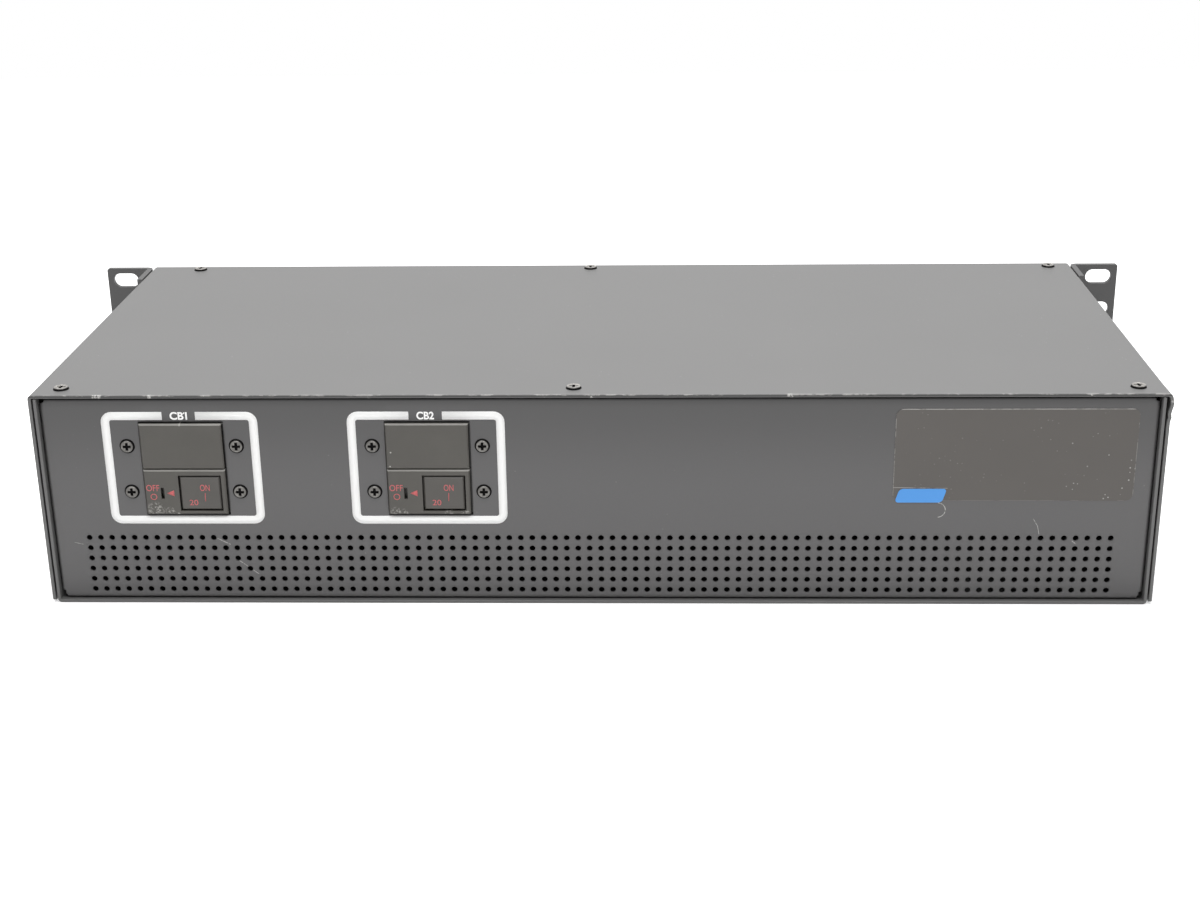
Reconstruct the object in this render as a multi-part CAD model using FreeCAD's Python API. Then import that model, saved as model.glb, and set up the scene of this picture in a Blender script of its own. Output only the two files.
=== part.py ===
import FreeCAD, Part
import math
import os

# Rack power distribution unit, two rack units high, in millimetres.
# The breaker side faces -Y, +Z is up, and the origin is the centre of the underside.

# Rack ears and their slots, to the nineteen-inch rack pattern; the chassis fits between the ears
RACK_WIDTH = 482.6
RACK_SLOT_FROM_TIP = 8.75
RACK_OUTER_PITCH = 76.2
RACK_INNER_PITCH = 44.45
RACK_SLOT_LENGTH = 12.0
RACK_SLOT_WIDTH = 6.8
EAR_REACH = 22.3
EAR_SHEET = 2.5
EAR_BEND = 3.4
EAR_LEG = 22.0
EAR_END_INSET = 0.1
EAR_CORNER = 1.1

# Chassis
CHASSIS_WIDTH = RACK_WIDTH - 2 * EAR_REACH
CHASSIS_HEIGHT = 88.0
CHASSIS_DEPTH = 190.5
SHEET = 1.25
BEND = 1.7
SIDE_GAP = 0.7
TRAY_TOP_GAP = 0.4
COVER_LIFT = 0.8
COVER_CORNER = 1.2
PANEL_RECESS = 1.5
PANEL_GAP = 0.5
PANEL_BEND = 1.6
FLANGE_DEPTH = 16.0
FLANGE_END_GAP = 0.3

# Vent field under the breakers; each small punched hole is a polygon of few sides
VENT_PITCH_X = 4.525
VENT_PITCH_Z = 4.475
VENT_WIDTH = 2.3
VENT_SIDES = 4
VENT_EDGE = 13.5
VENT_SHIFT = -0.3
VENT_FIRST_ROW = 5.4
VENT_TOP_GAP = 10.0

# Two-pole circuit breakers
BREAKER_COUNT = 2
BREAKER_FROM_LEFT = 58.0
BREAKER_SPACING = 96.0
BREAKER_FROM_TOP = 30.9
POLE_PITCH = 19.05
POLE_GAP = 0.3
POLE_LENGTH = 52.8
POLE_DEPTH = 46.0
FACE_WIDTH = 32.3
FACE_PROUD = 1.0
FACE_BEVEL = 0.6
CUTOUT_LEFT_GAP = 0.2
CUTOUT_RIGHT_GAP = 0.7
CUTOUT_TOP_GAP = 0.6
CUTOUT_BOTTOM_GAP = 0.4
BREAKER_SCREW_SPAN = 42.9

# Guard plate with a window for the rocker and a tool slot
WINDOW_WIDTH = 16.9
WINDOW_HEIGHT = 14.9
WINDOW_FROM_RIGHT = 1.8
WINDOW_FROM_BOTTOM = 1.6
TOOL_SLOT_WIDTH = 1.3
TOOL_SLOT_HEIGHT = 4.7
TOOL_SLOT_FROM_LEFT = 7.0

# Rocker, its pivot pin and the pocket behind it
ROCKER_GAP = 0.55
ROCKER_INSET = 0.2
ROCKER_THICK = 4.0
ROCKER_BEVEL = 0.5
ROCKER_PIVOT_IN = 4.0
ROCKER_PIVOT_DEEP = 3.2
ROCKER_WING = 1.4
ROCKER_WING_GAP = 0.4
ROCKER_WING_REACH = 8.6
ROCKER_SWING_ROOM = 5.3
PIN_RADIUS = 0.8
PIN_SEAT = 1.2
PIN_RUNNING_GAP = 0.05
PIN_SEAT_GAP = 0.02

# Breaker terminals, two spade tabs on each pole
TAB_WIDTH = 6.3
TAB_SHEET = 0.8
TAB_LENGTH = 12.0
TAB_SPAN = 32.0

# Small screws, head radius and height, shank radius and length; they and their holes are
# prisms of SMALL_SIDES sides
COVER_SCREW_HEAD = 3.1
COVER_SCREW_HEIGHT = 1.0
COVER_SCREW_SHANK = 1.5
COVER_SCREW_LENGTH = 6.0
COVER_SCREW_FROM_FRONT = 8.0
COVER_SCREW_FROM_REAR = 5.5
COVER_SCREW_FROM_SIDE = 11.0
COVER_SCREW_REAR_LEFT = 24.0
COVER_SCREW_OFF_MIDDLE = 8.0
BREAKER_SCREW_HEAD = 3.0
BREAKER_SCREW_HEIGHT = 0.9
BREAKER_SCREW_SHANK = 1.7
BREAKER_SCREW_LENGTH = 7.0
EAR_SCREW_HEAD = 4.0
EAR_SCREW_HEIGHT = 1.8
EAR_SCREW_SHANK = 2.0
EAR_SCREW_PITCH = 50.0
EAR_SCREW_FROM_REAR = 12.0
EAR_NUT_FLATS = 7.0
EAR_NUT_HEIGHT = 3.2
SCREW_HOLE_GAP = 0.2
THREAD_GAP = 0.02
SMALL_SIDES = 8

# Outlet banks at the rear, one for each breaker
OUTLET_COLUMNS = 4
OUTLET_ROWS = 2
OUTLET_PITCH_X = 34.0
OUTLET_PITCH_Z = 28.0
OUTLET_WELL_WIDTH = 29.4
OUTLET_WELL_HEIGHT = 21.4
OUTLET_WELL_DEPTH = 17.0
OUTLET_CORE_WIDTH = 24.0
OUTLET_CORE_HEIGHT = 15.9
OUTLET_CORE_CHAMFER = 4.5
OUTLET_CORE_INSET = 0.5
OUTLET_PIN_SPAN = 14.0
OUTLET_PIN_DROP = 4.0
OUTLET_PIN_WIDTH = 2.4
OUTLET_PIN_HEIGHT = 4.6
BANK_BORDER = 1.6
BANK_LIP = 2.2
BANK_LIP_SHEET = 1.5
BANK_CORNER = 2.0
BANK_CUTOUT_GAP = 0.2
BANK_FLOOR = 2.5
BANK_COVER_DEPTH = 9.0
BANK_COVER_WALL = 1.8
BANK_FROM_LEFT = 90.0
BANK_SPACING = 152.0
CONTACT_SHEET = 0.6
CONTACT_LENGTH = 12.0
CONTACT_SIDE_GAP = 0.3
BUS_BAR_SHEET = 1.2
BUS_BAR_HEIGHT = 5.0

# Cord gland; apart from its bore, its round faces are prisms of GLAND_SIDES sides
GLAND_SIDES = 24
GLAND_FROM_RIGHT = 42.0
GLAND_BORE = 9.5
GLAND_SEAL_WALL = 2.5
GLAND_SEAL_LENGTH = 14.0
GLAND_BODY_WALL = 3.0
GLAND_THREAD_LENGTH = 11.0
GLAND_HEX_FLATS = 38.0
GLAND_HEX_LENGTH = 8.0
GLAND_COLLAR_LENGTH = 10.0
GLAND_NUT_FLATS = 37.0
GLAND_NUT_NOSE = 9.0
GLAND_NUT_SHOULDER = 17.0
GLAND_NUT_LIP = 2.5
GLAND_LOCKNUT_FLATS = 38.0
GLAND_LOCKNUT_LENGTH = 5.0
GLAND_FIT = 0.1

# Input terminal block and earth stud on the tray floor
BLOCK_FROM_REAR = 62.0
BLOCK_POLES = 3
BLOCK_PITCH = 14.0
BLOCK_DEPTH = 28.0
BLOCK_HEIGHT = 20.0
BLOCK_BASE = 4.0
BLOCK_EAR = 9.0
BLOCK_BARRIER = 2.0
BLOCK_BARRIER_RISE = 6.0
CLAMP_SCREW_HEAD = 3.6
CLAMP_SCREW_HEIGHT = 2.2
CLAMP_SCREW_SHANK = 2.0
CLAMP_SCREW_LENGTH = 7.0
CLAMP_SCREW_SPAN = 15.0
FIXING_SCREW_HEAD = 3.2
FIXING_SCREW_HEIGHT = 2.0
FIXING_SCREW_SHANK = 1.6
EARTH_FROM_RIGHT = 16.0
EARTH_FROM_REAR = 40.0
EARTH_STUD_RADIUS = 2.5
EARTH_STUD_HEIGHT = 16.0
EARTH_STUD_BASE = 4.5
EARTH_STUD_BASE_HEIGHT = 1.2
EARTH_NUT_FLATS = 8.0
EARTH_NUT_HEIGHT = 4.0

# Places that follow from the sizes above
HALF_WIDTH = CHASSIS_WIDTH / 2
HALF_DEPTH = CHASSIS_DEPTH / 2
FRONT = -HALF_DEPTH
REAR = HALF_DEPTH
TRAY_HALF = HALF_WIDTH - SHEET - SIDE_GAP
INNER_HALF = TRAY_HALF - SHEET
COVER_UNDER = CHASSIS_HEIGHT - SHEET
PANEL_HALF = INNER_HALF - PANEL_GAP
PANEL_BOTTOM = SHEET + PANEL_GAP
PANEL_TOP = COVER_UNDER - PANEL_GAP
FRONT_FACE = FRONT + PANEL_RECESS
REAR_FACE = REAR - PANEL_RECESS
BREAKER_Z = CHASSIS_HEIGHT - BREAKER_FROM_TOP
MID_HEIGHT = CHASSIS_HEIGHT / 2
EAR_HOLE_X = RACK_WIDTH / 2 - RACK_SLOT_FROM_TIP
GLAND_X = HALF_WIDTH - GLAND_FROM_RIGHT
EAR_SCREW_Y = REAR - EAR_SCREW_FROM_REAR
BREAKER_SCREW_X = BREAKER_SCREW_SPAN / 2
CASE_FRONT = FRONT_FACE + SHEET
FACE_FRONT = FRONT_FACE - FACE_PROUD


def at(u, v, w, plane):
    """Point of a profile plane: u and v lie in the plane, w along its normal axis."""
    if plane == "xy":
        return FreeCAD.Vector(u, v, w)
    if plane == "xz":
        return FreeCAD.Vector(u, w, v)
    return FreeCAD.Vector(w, u, v)


def box(x0, x1, y0, y1, z0, z1):
    """Block between two corners."""
    return Part.makeBox(x1 - x0, y1 - y0, z1 - z0, FreeCAD.Vector(x0, y0, z0))


def cylinder(radius, start, axis, length):
    """Round bar from a start point along an axis."""
    return Part.makeCylinder(radius, length, FreeCAD.Vector(*start), FreeCAD.Vector(*axis))


def bar(radius, start, axis, length, sides=SMALL_SIDES):
    """Prism of few sides in place of a small round bar, from a start point along an axis."""
    along = [abs(a) for a in axis].index(1)
    plane = ("yz", "xz", "xy")[along]
    u, v = [c for i, c in enumerate(start) if i != along]
    end = start[along] + axis[along] * length
    return extruded(moved(polygon(sides, radius), u, v), plane, start[along], end)


def outline(corners, plane, w):
    """Closed wire through corners (u, v, radius): straight runs joined by tangent arcs."""
    spans = []
    count = len(corners)
    for index, (u, v, radius) in enumerate(corners):
        here = FreeCAD.Vector(u, v, 0)
        before = FreeCAD.Vector(*corners[index - 1][:2], 0) - here
        after = FreeCAD.Vector(*corners[(index + 1) % count][:2], 0) - here
        if radius <= 0:
            spans.append((here, None, here))
            continue
        before.normalize()
        after.normalize()
        half_angle = before.getAngle(after) / 2
        reach = radius / math.tan(half_angle)
        middle = before + after
        middle.normalize()
        crown = here + middle * (radius / math.sin(half_angle) - radius)
        spans.append((here + before * reach, crown, here + after * reach))
    edges = []
    for index, (first, crown, last) in enumerate(spans):
        follow = spans[(index + 1) % count][0]
        if crown is not None:
            ends = [at(p.x, p.y, w, plane) for p in (first, crown, last)]
            edges.append(Part.Arc(*ends).toShape())
        if (follow - last).Length > 1e-6:
            start = at(last.x, last.y, w, plane)
            edges.append(Part.LineSegment(start, at(follow.x, follow.y, w, plane)).toShape())
    return Part.Wire(edges)


def extruded(corners, plane, w0, w1):
    """Solid of a profile carried along the plane's normal from w0 to w1."""
    face = Part.Face(outline(corners, plane, w0))
    return face.extrude(at(0, 0, w1, plane) - at(0, 0, w0, plane))


def rectangle(u0, u1, v0, v1, radius=0.0):
    """Corners of a rectangle with one corner radius."""
    return [(u0, v0, radius), (u1, v0, radius), (u1, v1, radius), (u0, v1, radius)]


def polygon(sides, radius):
    """Corners of a regular polygon about the origin, with its corners at a radius."""
    angles = [2 * math.pi * i / sides for i in range(sides)]
    return [(radius * math.cos(a), radius * math.sin(a), 0.0) for a in angles]


def hexagon(flats):
    """Corners of a hexagon about the origin by its width over flats."""
    return polygon(6, flats / math.sqrt(3))


def moved(corners, u, v):
    """Profile corners shifted within their plane."""
    return [(cu + u, cv + v, radius) for cu, cv, radius in corners]


def union(shapes):
    """One solid from shapes that meet, with their shared faces cleaned up."""
    whole = shapes[0].fuse(shapes[1:]) if len(shapes) > 1 else shapes[0]
    return whole.removeSplitter()


def screw(head, height, shank, length, seat, axis):
    """Screw on its seat point: the head stands out along axis, the shank goes the other way."""
    inward = [-a for a in axis]
    return union([bar(head, seat, axis, height), bar(shank, seat, inward, length)])


def save(name, shapes):
    """Write one node: a single solid, or a group of like solids."""
    group = shapes if isinstance(shapes, list) else [shapes]
    shape = group[0] if len(group) == 1 else Part.makeCompound(group)
    shape.exportStep("parts/" + name + ".step")


def breaker_places():
    """Centre x of each breaker, counted from the left side."""
    first = -HALF_WIDTH + BREAKER_FROM_LEFT
    return [first + i * BREAKER_SPACING for i in range(BREAKER_COUNT)]


def bank_places():
    """Centre x of each outlet bank, counted from the left side."""
    first = -HALF_WIDTH + BANK_FROM_LEFT
    return [first + i * BANK_SPACING for i in range(BREAKER_COUNT)]


def breaker_screw_places():
    """Panel points (x, z) of the breaker screws, one pair for each pole."""
    levels = (BREAKER_Z - POLE_PITCH / 2, BREAKER_Z + POLE_PITCH / 2)
    return [(x + s * BREAKER_SCREW_X, z) for x in breaker_places() for z in levels for s in (-1, 1)]


def cover_screw_places():
    """Points (x, y) of the cover screws: two rows of three."""
    side = HALF_WIDTH - COVER_SCREW_FROM_SIDE
    front = FRONT + COVER_SCREW_FROM_FRONT
    rear = REAR - COVER_SCREW_FROM_REAR
    rear_left = -HALF_WIDTH + COVER_SCREW_REAR_LEFT
    middle = -COVER_SCREW_OFF_MIDDLE
    return [(-side, front), (middle, front), (side, front), (rear_left, rear), (middle, rear), (side, rear)]


def ear_screw_places():
    """Heights of the ear screws on each side."""
    return [MID_HEIGHT - EAR_SCREW_PITCH / 2, MID_HEIGHT + EAR_SCREW_PITCH / 2]


def side_holes(shape):
    """Cut the ear screws' clearance holes through whatever stands at the chassis sides."""
    radius = EAR_SCREW_SHANK + SCREW_HOLE_GAP
    start = (-RACK_WIDTH / 2, EAR_SCREW_Y)
    drills = [bar(radius, (*start, z), (1, 0, 0), RACK_WIDTH) for z in ear_screw_places()]
    return shape.cut(drills)


def base_tray():
    """Folded U: bottom and two sides."""
    top = COVER_UNDER - TRAY_TOP_GAP
    corners = [
        (-TRAY_HALF, top, 0), (-TRAY_HALF, 0, BEND), (TRAY_HALF, 0, BEND), (TRAY_HALF, top, 0),
        (INNER_HALF, top, 0), (INNER_HALF, SHEET, BEND - SHEET), (-INNER_HALF, SHEET, BEND - SHEET),
        (-INNER_HALF, top, 0),
    ]
    return side_holes(extruded(corners, "xz", FRONT, REAR))


def top_cover():
    """Folded inverted U over the tray, with rounded lower corners on its sides."""
    inner = HALF_WIDTH - SHEET
    top = CHASSIS_HEIGHT
    corners = [
        (-HALF_WIDTH, COVER_LIFT, 0), (-inner, COVER_LIFT, 0), (-inner, COVER_UNDER, BEND - SHEET),
        (inner, COVER_UNDER, BEND - SHEET), (inner, COVER_LIFT, 0), (HALF_WIDTH, COVER_LIFT, 0),
        (HALF_WIDTH, top, BEND), (-HALF_WIDTH, top, BEND),
    ]
    shell = extruded(corners, "xz", FRONT, REAR)
    low = [(FRONT, COVER_LIFT, COVER_CORNER), (REAR, COVER_LIFT, COVER_CORNER)]
    side = low + [(REAR, top, 0), (FRONT, top, 0)]
    shell = shell.common(extruded(side, "yz", -HALF_WIDTH, HALF_WIDTH))
    radius = COVER_SCREW_SHANK + SCREW_HOLE_GAP
    drills = [bar(radius, (x, y, COVER_UNDER), (0, 0, 1), SHEET) for x, y in cover_screw_places()]
    return side_holes(shell.cut(drills))


def panel_flanges(face, inward):
    """Four bent flanges of a panel pan, stopped short of its corners as relief."""
    deep = face + inward * FLANGE_DEPTH
    back = face + inward * SHEET
    inner_bend = PANEL_BEND - SHEET
    relief = PANEL_BEND + FLANGE_END_GAP
    flanges = []
    for side in (-1, 1):
        edge = side * PANEL_HALF
        skin = edge - side * SHEET
        flat = edge - side * PANEL_BEND
        outer_skin = [(flat, face, 0), (edge, face, PANEL_BEND), (edge, deep, 0)]
        inner_skin = [(skin, deep, 0), (skin, back, inner_bend), (flat, back, 0)]
        flanges.append(extruded(outer_skin + inner_skin, "xy", PANEL_BOTTOM + relief, PANEL_TOP - relief))
    for edge, side in ((PANEL_BOTTOM, -1), (PANEL_TOP, 1)):
        skin = edge - side * SHEET
        flat = edge - side * PANEL_BEND
        outer_skin = [(face, flat, 0), (face, edge, PANEL_BEND), (deep, edge, 0)]
        inner_skin = [(deep, skin, 0), (back, skin, inner_bend), (back, flat, 0)]
        flanges.append(extruded(outer_skin + inner_skin, "yz", relief - PANEL_HALF, PANEL_HALF - relief))
    return flanges


def panel_plate(face, inward, holes):
    """Flat middle of a panel pan, with its holes punched as inner outlines."""
    side = PANEL_HALF - PANEL_BEND
    low = PANEL_BOTTOM + PANEL_BEND
    high = PANEL_TOP - PANEL_BEND
    rim = outline(rectangle(-side, side, low, high), "xz", face)
    cuts = [outline(hole, "xz", face) for hole in holes]
    for cut in cuts:
        cut.reverse()
    return Part.Face([rim] + cuts).extrude(FreeCAD.Vector(0, inward * SHEET, 0))


def flange_drills(face, inward):
    """Bars that cut the cover screws' holes into a panel's top flange."""
    radius = COVER_SCREW_SHANK + THREAD_GAP
    near = [(x, y) for x, y in cover_screw_places() if 0 < (y - face) * inward < FLANGE_DEPTH]
    return [bar(radius, (x, y, PANEL_TOP - SHEET), (0, 0, 1), SHEET) for x, y in near]


def vent_holes():
    """Punched vent outlines: as many columns and rows as the field between its margins takes."""
    width = 2 * (PANEL_HALF - VENT_EDGE)
    lowest_breaker = BREAKER_Z - POLE_PITCH
    height = lowest_breaker - VENT_TOP_GAP - VENT_FIRST_ROW
    columns = int(width / VENT_PITCH_X) + 1
    rows = int(height / VENT_PITCH_Z) + 1
    first = VENT_SHIFT - (columns - 1) * VENT_PITCH_X / 2
    shape = polygon(VENT_SIDES, VENT_WIDTH / 2)
    levels = [VENT_FIRST_ROW + j * VENT_PITCH_Z for j in range(rows)]
    return [moved(shape, first + i * VENT_PITCH_X, z) for z in levels for i in range(columns)]


def front_panel():
    """Recessed pan with the vent field, the breaker cut-outs and the breaker screw holes."""
    left = FACE_WIDTH / 2 + CUTOUT_LEFT_GAP
    right = FACE_WIDTH / 2 + CUTOUT_RIGHT_GAP
    low = BREAKER_Z - POLE_PITCH - CUTOUT_BOTTOM_GAP
    high = BREAKER_Z + POLE_PITCH + CUTOUT_TOP_GAP
    holes = vent_holes()
    holes += [rectangle(x - left, x + right, low, high) for x in breaker_places()]
    radius = BREAKER_SCREW_SHANK + SCREW_HOLE_GAP
    holes += [moved(polygon(SMALL_SIDES, radius), x, z) for x, z in breaker_screw_places()]
    pan = union([panel_plate(FRONT_FACE, 1, holes)] + panel_flanges(FRONT_FACE, 1))
    return pan.cut(flange_drills(FRONT_FACE, 1))


def bank_half_size():
    """Half width and half height of an outlet bank's housing behind its lip."""
    half_x = (OUTLET_COLUMNS * OUTLET_PITCH_X) / 2 + BANK_BORDER
    half_z = (OUTLET_ROWS * OUTLET_PITCH_Z) / 2 + BANK_BORDER
    return half_x, half_z


def gland_thread_radius():
    """Outer radius of the gland's threaded barrel."""
    return GLAND_BORE + GLAND_SEAL_WALL + GLAND_BODY_WALL


def rear_panel():
    """Recessed pan with a cut-out for each outlet bank and the gland's round hole."""
    half_x, half_z = bank_half_size()
    wide = half_x + BANK_CUTOUT_GAP
    tall = half_z + BANK_CUTOUT_GAP
    holes = [rectangle(x - wide, x + wide, MID_HEIGHT - tall, MID_HEIGHT + tall) for x in bank_places()]
    holes.append(moved(polygon(GLAND_SIDES, gland_thread_radius() + SCREW_HOLE_GAP), GLAND_X, MID_HEIGHT))
    pan = union([panel_plate(REAR_FACE, -1, holes)] + panel_flanges(REAR_FACE, -1))
    return side_holes(pan.cut(flange_drills(REAR_FACE, -1)))


def rack_ear(side):
    """Bent angle: a leg along the chassis side and a slotted flange flush with the rear."""
    inner = side * HALF_WIDTH
    outer = side * (HALF_WIDTH + EAR_SHEET)
    tip = side * RACK_WIDTH / 2
    front = REAR - EAR_SHEET
    corners = [
        (inner, REAR - EAR_LEG, 0), (inner, REAR, EAR_BEND), (tip, REAR, 0), (tip, front, 0),
        (outer, front, EAR_BEND - EAR_SHEET), (outer, REAR - EAR_LEG, 0),
    ]
    low = EAR_END_INSET
    high = CHASSIS_HEIGHT - EAR_END_INSET
    ear = extruded(corners, "xy", low, high)
    mask = [(inner, low, 0), (tip, low, EAR_CORNER), (tip, high, EAR_CORNER), (inner, high, 0)]
    ear = ear.common(extruded(mask, "xz", REAR - EAR_LEG, REAR))
    middle = side * EAR_HOLE_X
    run = RACK_SLOT_LENGTH / 2
    rise = RACK_SLOT_WIDTH / 2
    pitches = (RACK_OUTER_PITCH, RACK_INNER_PITCH)
    levels = [MID_HEIGHT + s * pitch / 2 for pitch in pitches for s in (-1, 1)]
    slots = [rectangle(middle - run, middle + run, z - rise, z + rise, rise) for z in levels]
    return side_holes(ear.cut([extruded(slot, "xz", front, REAR) for slot in slots]))


def ear_fasteners():
    """Screws through ear, cover, tray and panel flange, and the nuts inside."""
    screws = []
    nuts = []
    length = HALF_WIDTH + EAR_SHEET - PANEL_HALF + SHEET + EAR_NUT_HEIGHT
    sizes = (EAR_SCREW_HEAD, EAR_SCREW_HEIGHT, EAR_SCREW_SHANK, length)
    for side in (-1, 1):
        face = side * (PANEL_HALF - SHEET)
        end = face - side * EAR_NUT_HEIGHT
        for z in ear_screw_places():
            seat = (side * (HALF_WIDTH + EAR_SHEET), EAR_SCREW_Y, z)
            screws.append(screw(*sizes, seat, (side, 0, 0)))
            nut = extruded(moved(hexagon(EAR_NUT_FLATS), EAR_SCREW_Y, z), "yz", face, end)
            inside = (face, EAR_SCREW_Y, z)
            nuts.append(nut.cut(bar(EAR_SCREW_SHANK + THREAD_GAP, inside, (-side, 0, 0), EAR_NUT_HEIGHT)))
    return screws, nuts


def pole_block(x, z):
    """Breaker pole case behind the panel, with two blind screw holes."""
    low = z - POLE_PITCH / 2 + POLE_GAP / 2
    high = z + POLE_PITCH / 2 - POLE_GAP / 2
    half = POLE_LENGTH / 2
    case = box(x - half, x + half, CASE_FRONT, CASE_FRONT + POLE_DEPTH, low, high)
    radius = BREAKER_SCREW_SHANK + THREAD_GAP
    mouths = [(x + s * BREAKER_SCREW_X, CASE_FRONT, z) for s in (-1, 1)]
    return case.cut([bar(radius, mouth, (0, 1, 0), BREAKER_SCREW_LENGTH) for mouth in mouths])


def face_plate(x, z):
    """Bevelled plate of one pole that stands through the panel's cut-out."""
    low = z - POLE_PITCH / 2 + POLE_GAP / 2
    high = z + POLE_PITCH / 2 - POLE_GAP / 2
    half = FACE_WIDTH / 2
    plate = box(x - half, x + half, FACE_FRONT, CASE_FRONT, low, high)
    rims = [edge for edge in plate.Edges if edge.BoundBox.YMax < FACE_FRONT + FACE_BEVEL]
    return plate.makeChamfer(FACE_BEVEL, rims)


def window_place(x):
    """Left, right, lower and upper edge of the guard's window."""
    right = x + FACE_WIDTH / 2 - WINDOW_FROM_RIGHT
    low = BREAKER_Z - POLE_PITCH + WINDOW_FROM_BOTTOM
    return right - WINDOW_WIDTH, right, low, low + WINDOW_HEIGHT


def pivot_place(x):
    """Point (x, y) of the rocker's upright pivot axis."""
    left = window_place(x)[0]
    return left + ROCKER_GAP + ROCKER_PIVOT_IN, FACE_FRONT + ROCKER_INSET + ROCKER_PIVOT_DEEP


def lower_pole(x):
    """Lower pole case with the rocker's pocket and the pin's two seats."""
    left, right, low, high = window_place(x)
    pivot_x, pivot_y = pivot_place(x)
    back = pivot_y + ROCKER_SWING_ROOM
    wing_end = left - ROCKER_WING_REACH
    pocket = box(wing_end, right, CASE_FRONT, back, low, high)
    span = WINDOW_HEIGHT + 2 * PIN_SEAT
    seat = cylinder(PIN_RADIUS + PIN_SEAT_GAP, (pivot_x, pivot_y, low - PIN_SEAT), (0, 0, 1), span)
    return pole_block(x, BREAKER_Z - POLE_PITCH / 2).cut([pocket, seat])


def upper_pole(x):
    """Upper pole case with its blank face plate."""
    z = BREAKER_Z + POLE_PITCH / 2
    return union([pole_block(x, z), face_plate(x, z)])


def guard_plate(x):
    """Guard over the lower pole: a window for the rocker and a tool slot over its far wing."""
    left, right, low, high = window_place(x)
    slot_x = x - FACE_WIDTH / 2 + TOOL_SLOT_FROM_LEFT
    slot_z = (low + high) / 2
    slot = box(
        slot_x - TOOL_SLOT_WIDTH / 2, slot_x + TOOL_SLOT_WIDTH / 2, FACE_FRONT, CASE_FRONT,
        slot_z - TOOL_SLOT_HEIGHT / 2, slot_z + TOOL_SLOT_HEIGHT / 2)
    window = box(left, right, FACE_FRONT, CASE_FRONT, low, high)
    return face_plate(x, BREAKER_Z - POLE_PITCH / 2).cut([window, slot])


def rocker(x):
    """Rocker button: a flat bevelled pad on the pin, and the wing behind the guard."""
    left, right, low, high = window_place(x)
    pivot_x, pivot_y = pivot_place(x)
    left += ROCKER_GAP
    right -= ROCKER_GAP
    low += ROCKER_GAP
    high -= ROCKER_GAP
    front = FACE_FRONT + ROCKER_INSET
    pad = box(left, right, front, front + ROCKER_THICK, low, high)
    rims = [edge for edge in pad.Edges if edge.BoundBox.YMax < front + ROCKER_BEVEL]
    pad = pad.makeChamfer(ROCKER_BEVEL, rims)
    wing_front = CASE_FRONT + ROCKER_WING_GAP
    wing = box(left - ROCKER_WING_REACH, left, wing_front, wing_front + ROCKER_WING, low, high)
    bore = cylinder(PIN_RADIUS + PIN_RUNNING_GAP, (pivot_x, pivot_y, low), (0, 0, 1), high - low)
    return union([pad, wing]).cut(bore)


def pivot_pin(x):
    """Steel pin carried by the lower pole's walls."""
    low = window_place(x)[2]
    span = WINDOW_HEIGHT + 2 * PIN_SEAT
    return cylinder(PIN_RADIUS, (*pivot_place(x), low - PIN_SEAT), (0, 0, 1), span)


def breaker_terminals(x):
    """Line and load spade tabs on the back of both poles."""
    back = CASE_FRONT + POLE_DEPTH
    tabs = []
    for z in (BREAKER_Z - POLE_PITCH / 2, BREAKER_Z + POLE_PITCH / 2):
        for side in (-1, 1):
            middle = x + side * TAB_SPAN / 2
            half = TAB_WIDTH / 2
            thick = TAB_SHEET / 2
            tabs.append(box(middle - half, middle + half, back, back + TAB_LENGTH, z - thick, z + thick))
    return tabs


def breaker_screws():
    """Pan-head screws that hold both breakers to the front panel."""
    sizes = (BREAKER_SCREW_HEAD, BREAKER_SCREW_HEIGHT, BREAKER_SCREW_SHANK, BREAKER_SCREW_LENGTH)
    return [screw(*sizes, (x, FRONT_FACE, z), (0, -1, 0)) for x, z in breaker_screw_places()]


def cover_screws():
    """Low-head screws that hold the cover to both panels' top flanges."""
    sizes = (COVER_SCREW_HEAD, COVER_SCREW_HEIGHT, COVER_SCREW_SHANK, COVER_SCREW_LENGTH)
    return [screw(*sizes, (x, y, CHASSIS_HEIGHT), (0, 0, 1)) for x, y in cover_screw_places()]


def outlet_places(bank_x):
    """Centres (x, z) of the outlets in one bank."""
    first_x = bank_x - (OUTLET_COLUMNS - 1) * OUTLET_PITCH_X / 2
    first_z = MID_HEIGHT - (OUTLET_ROWS - 1) * OUTLET_PITCH_Z / 2
    columns = [first_x + i * OUTLET_PITCH_X for i in range(OUTLET_COLUMNS)]
    rows = [first_z + j * OUTLET_PITCH_Z for j in range(OUTLET_ROWS)]
    return [(x, z) for z in rows for x in columns]


def bank_frame(bank_x):
    """Outlet bank housing: a lip on the panel's face and one open well for each outlet."""
    half_x, half_z = bank_half_size()
    lip_x = half_x + BANK_LIP
    lip_z = half_z + BANK_LIP
    face = REAR_FACE + BANK_LIP_SHEET
    floor = face - OUTLET_WELL_DEPTH
    lip = rectangle(bank_x - lip_x, bank_x + lip_x, MID_HEIGHT - lip_z, MID_HEIGHT + lip_z, BANK_CORNER)
    body = rectangle(bank_x - half_x, bank_x + half_x, MID_HEIGHT - half_z, MID_HEIGHT + half_z)
    whole = union([extruded(lip, "xz", REAR_FACE, face), extruded(body, "xz", floor, REAR_FACE)])
    well_x = OUTLET_WELL_WIDTH / 2
    well_z = OUTLET_WELL_HEIGHT / 2
    places = outlet_places(bank_x)
    return whole.cut([box(x - well_x, x + well_x, floor, face, z - well_z, z + well_z) for x, z in places])


def pin_places(x, z):
    """Centres of the three contact slots in one outlet: two live pins and the earth pin."""
    half = OUTLET_PIN_SPAN / 2
    return [(x - half, z), (x + half, z), (x, z + OUTLET_PIN_DROP)]


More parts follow.
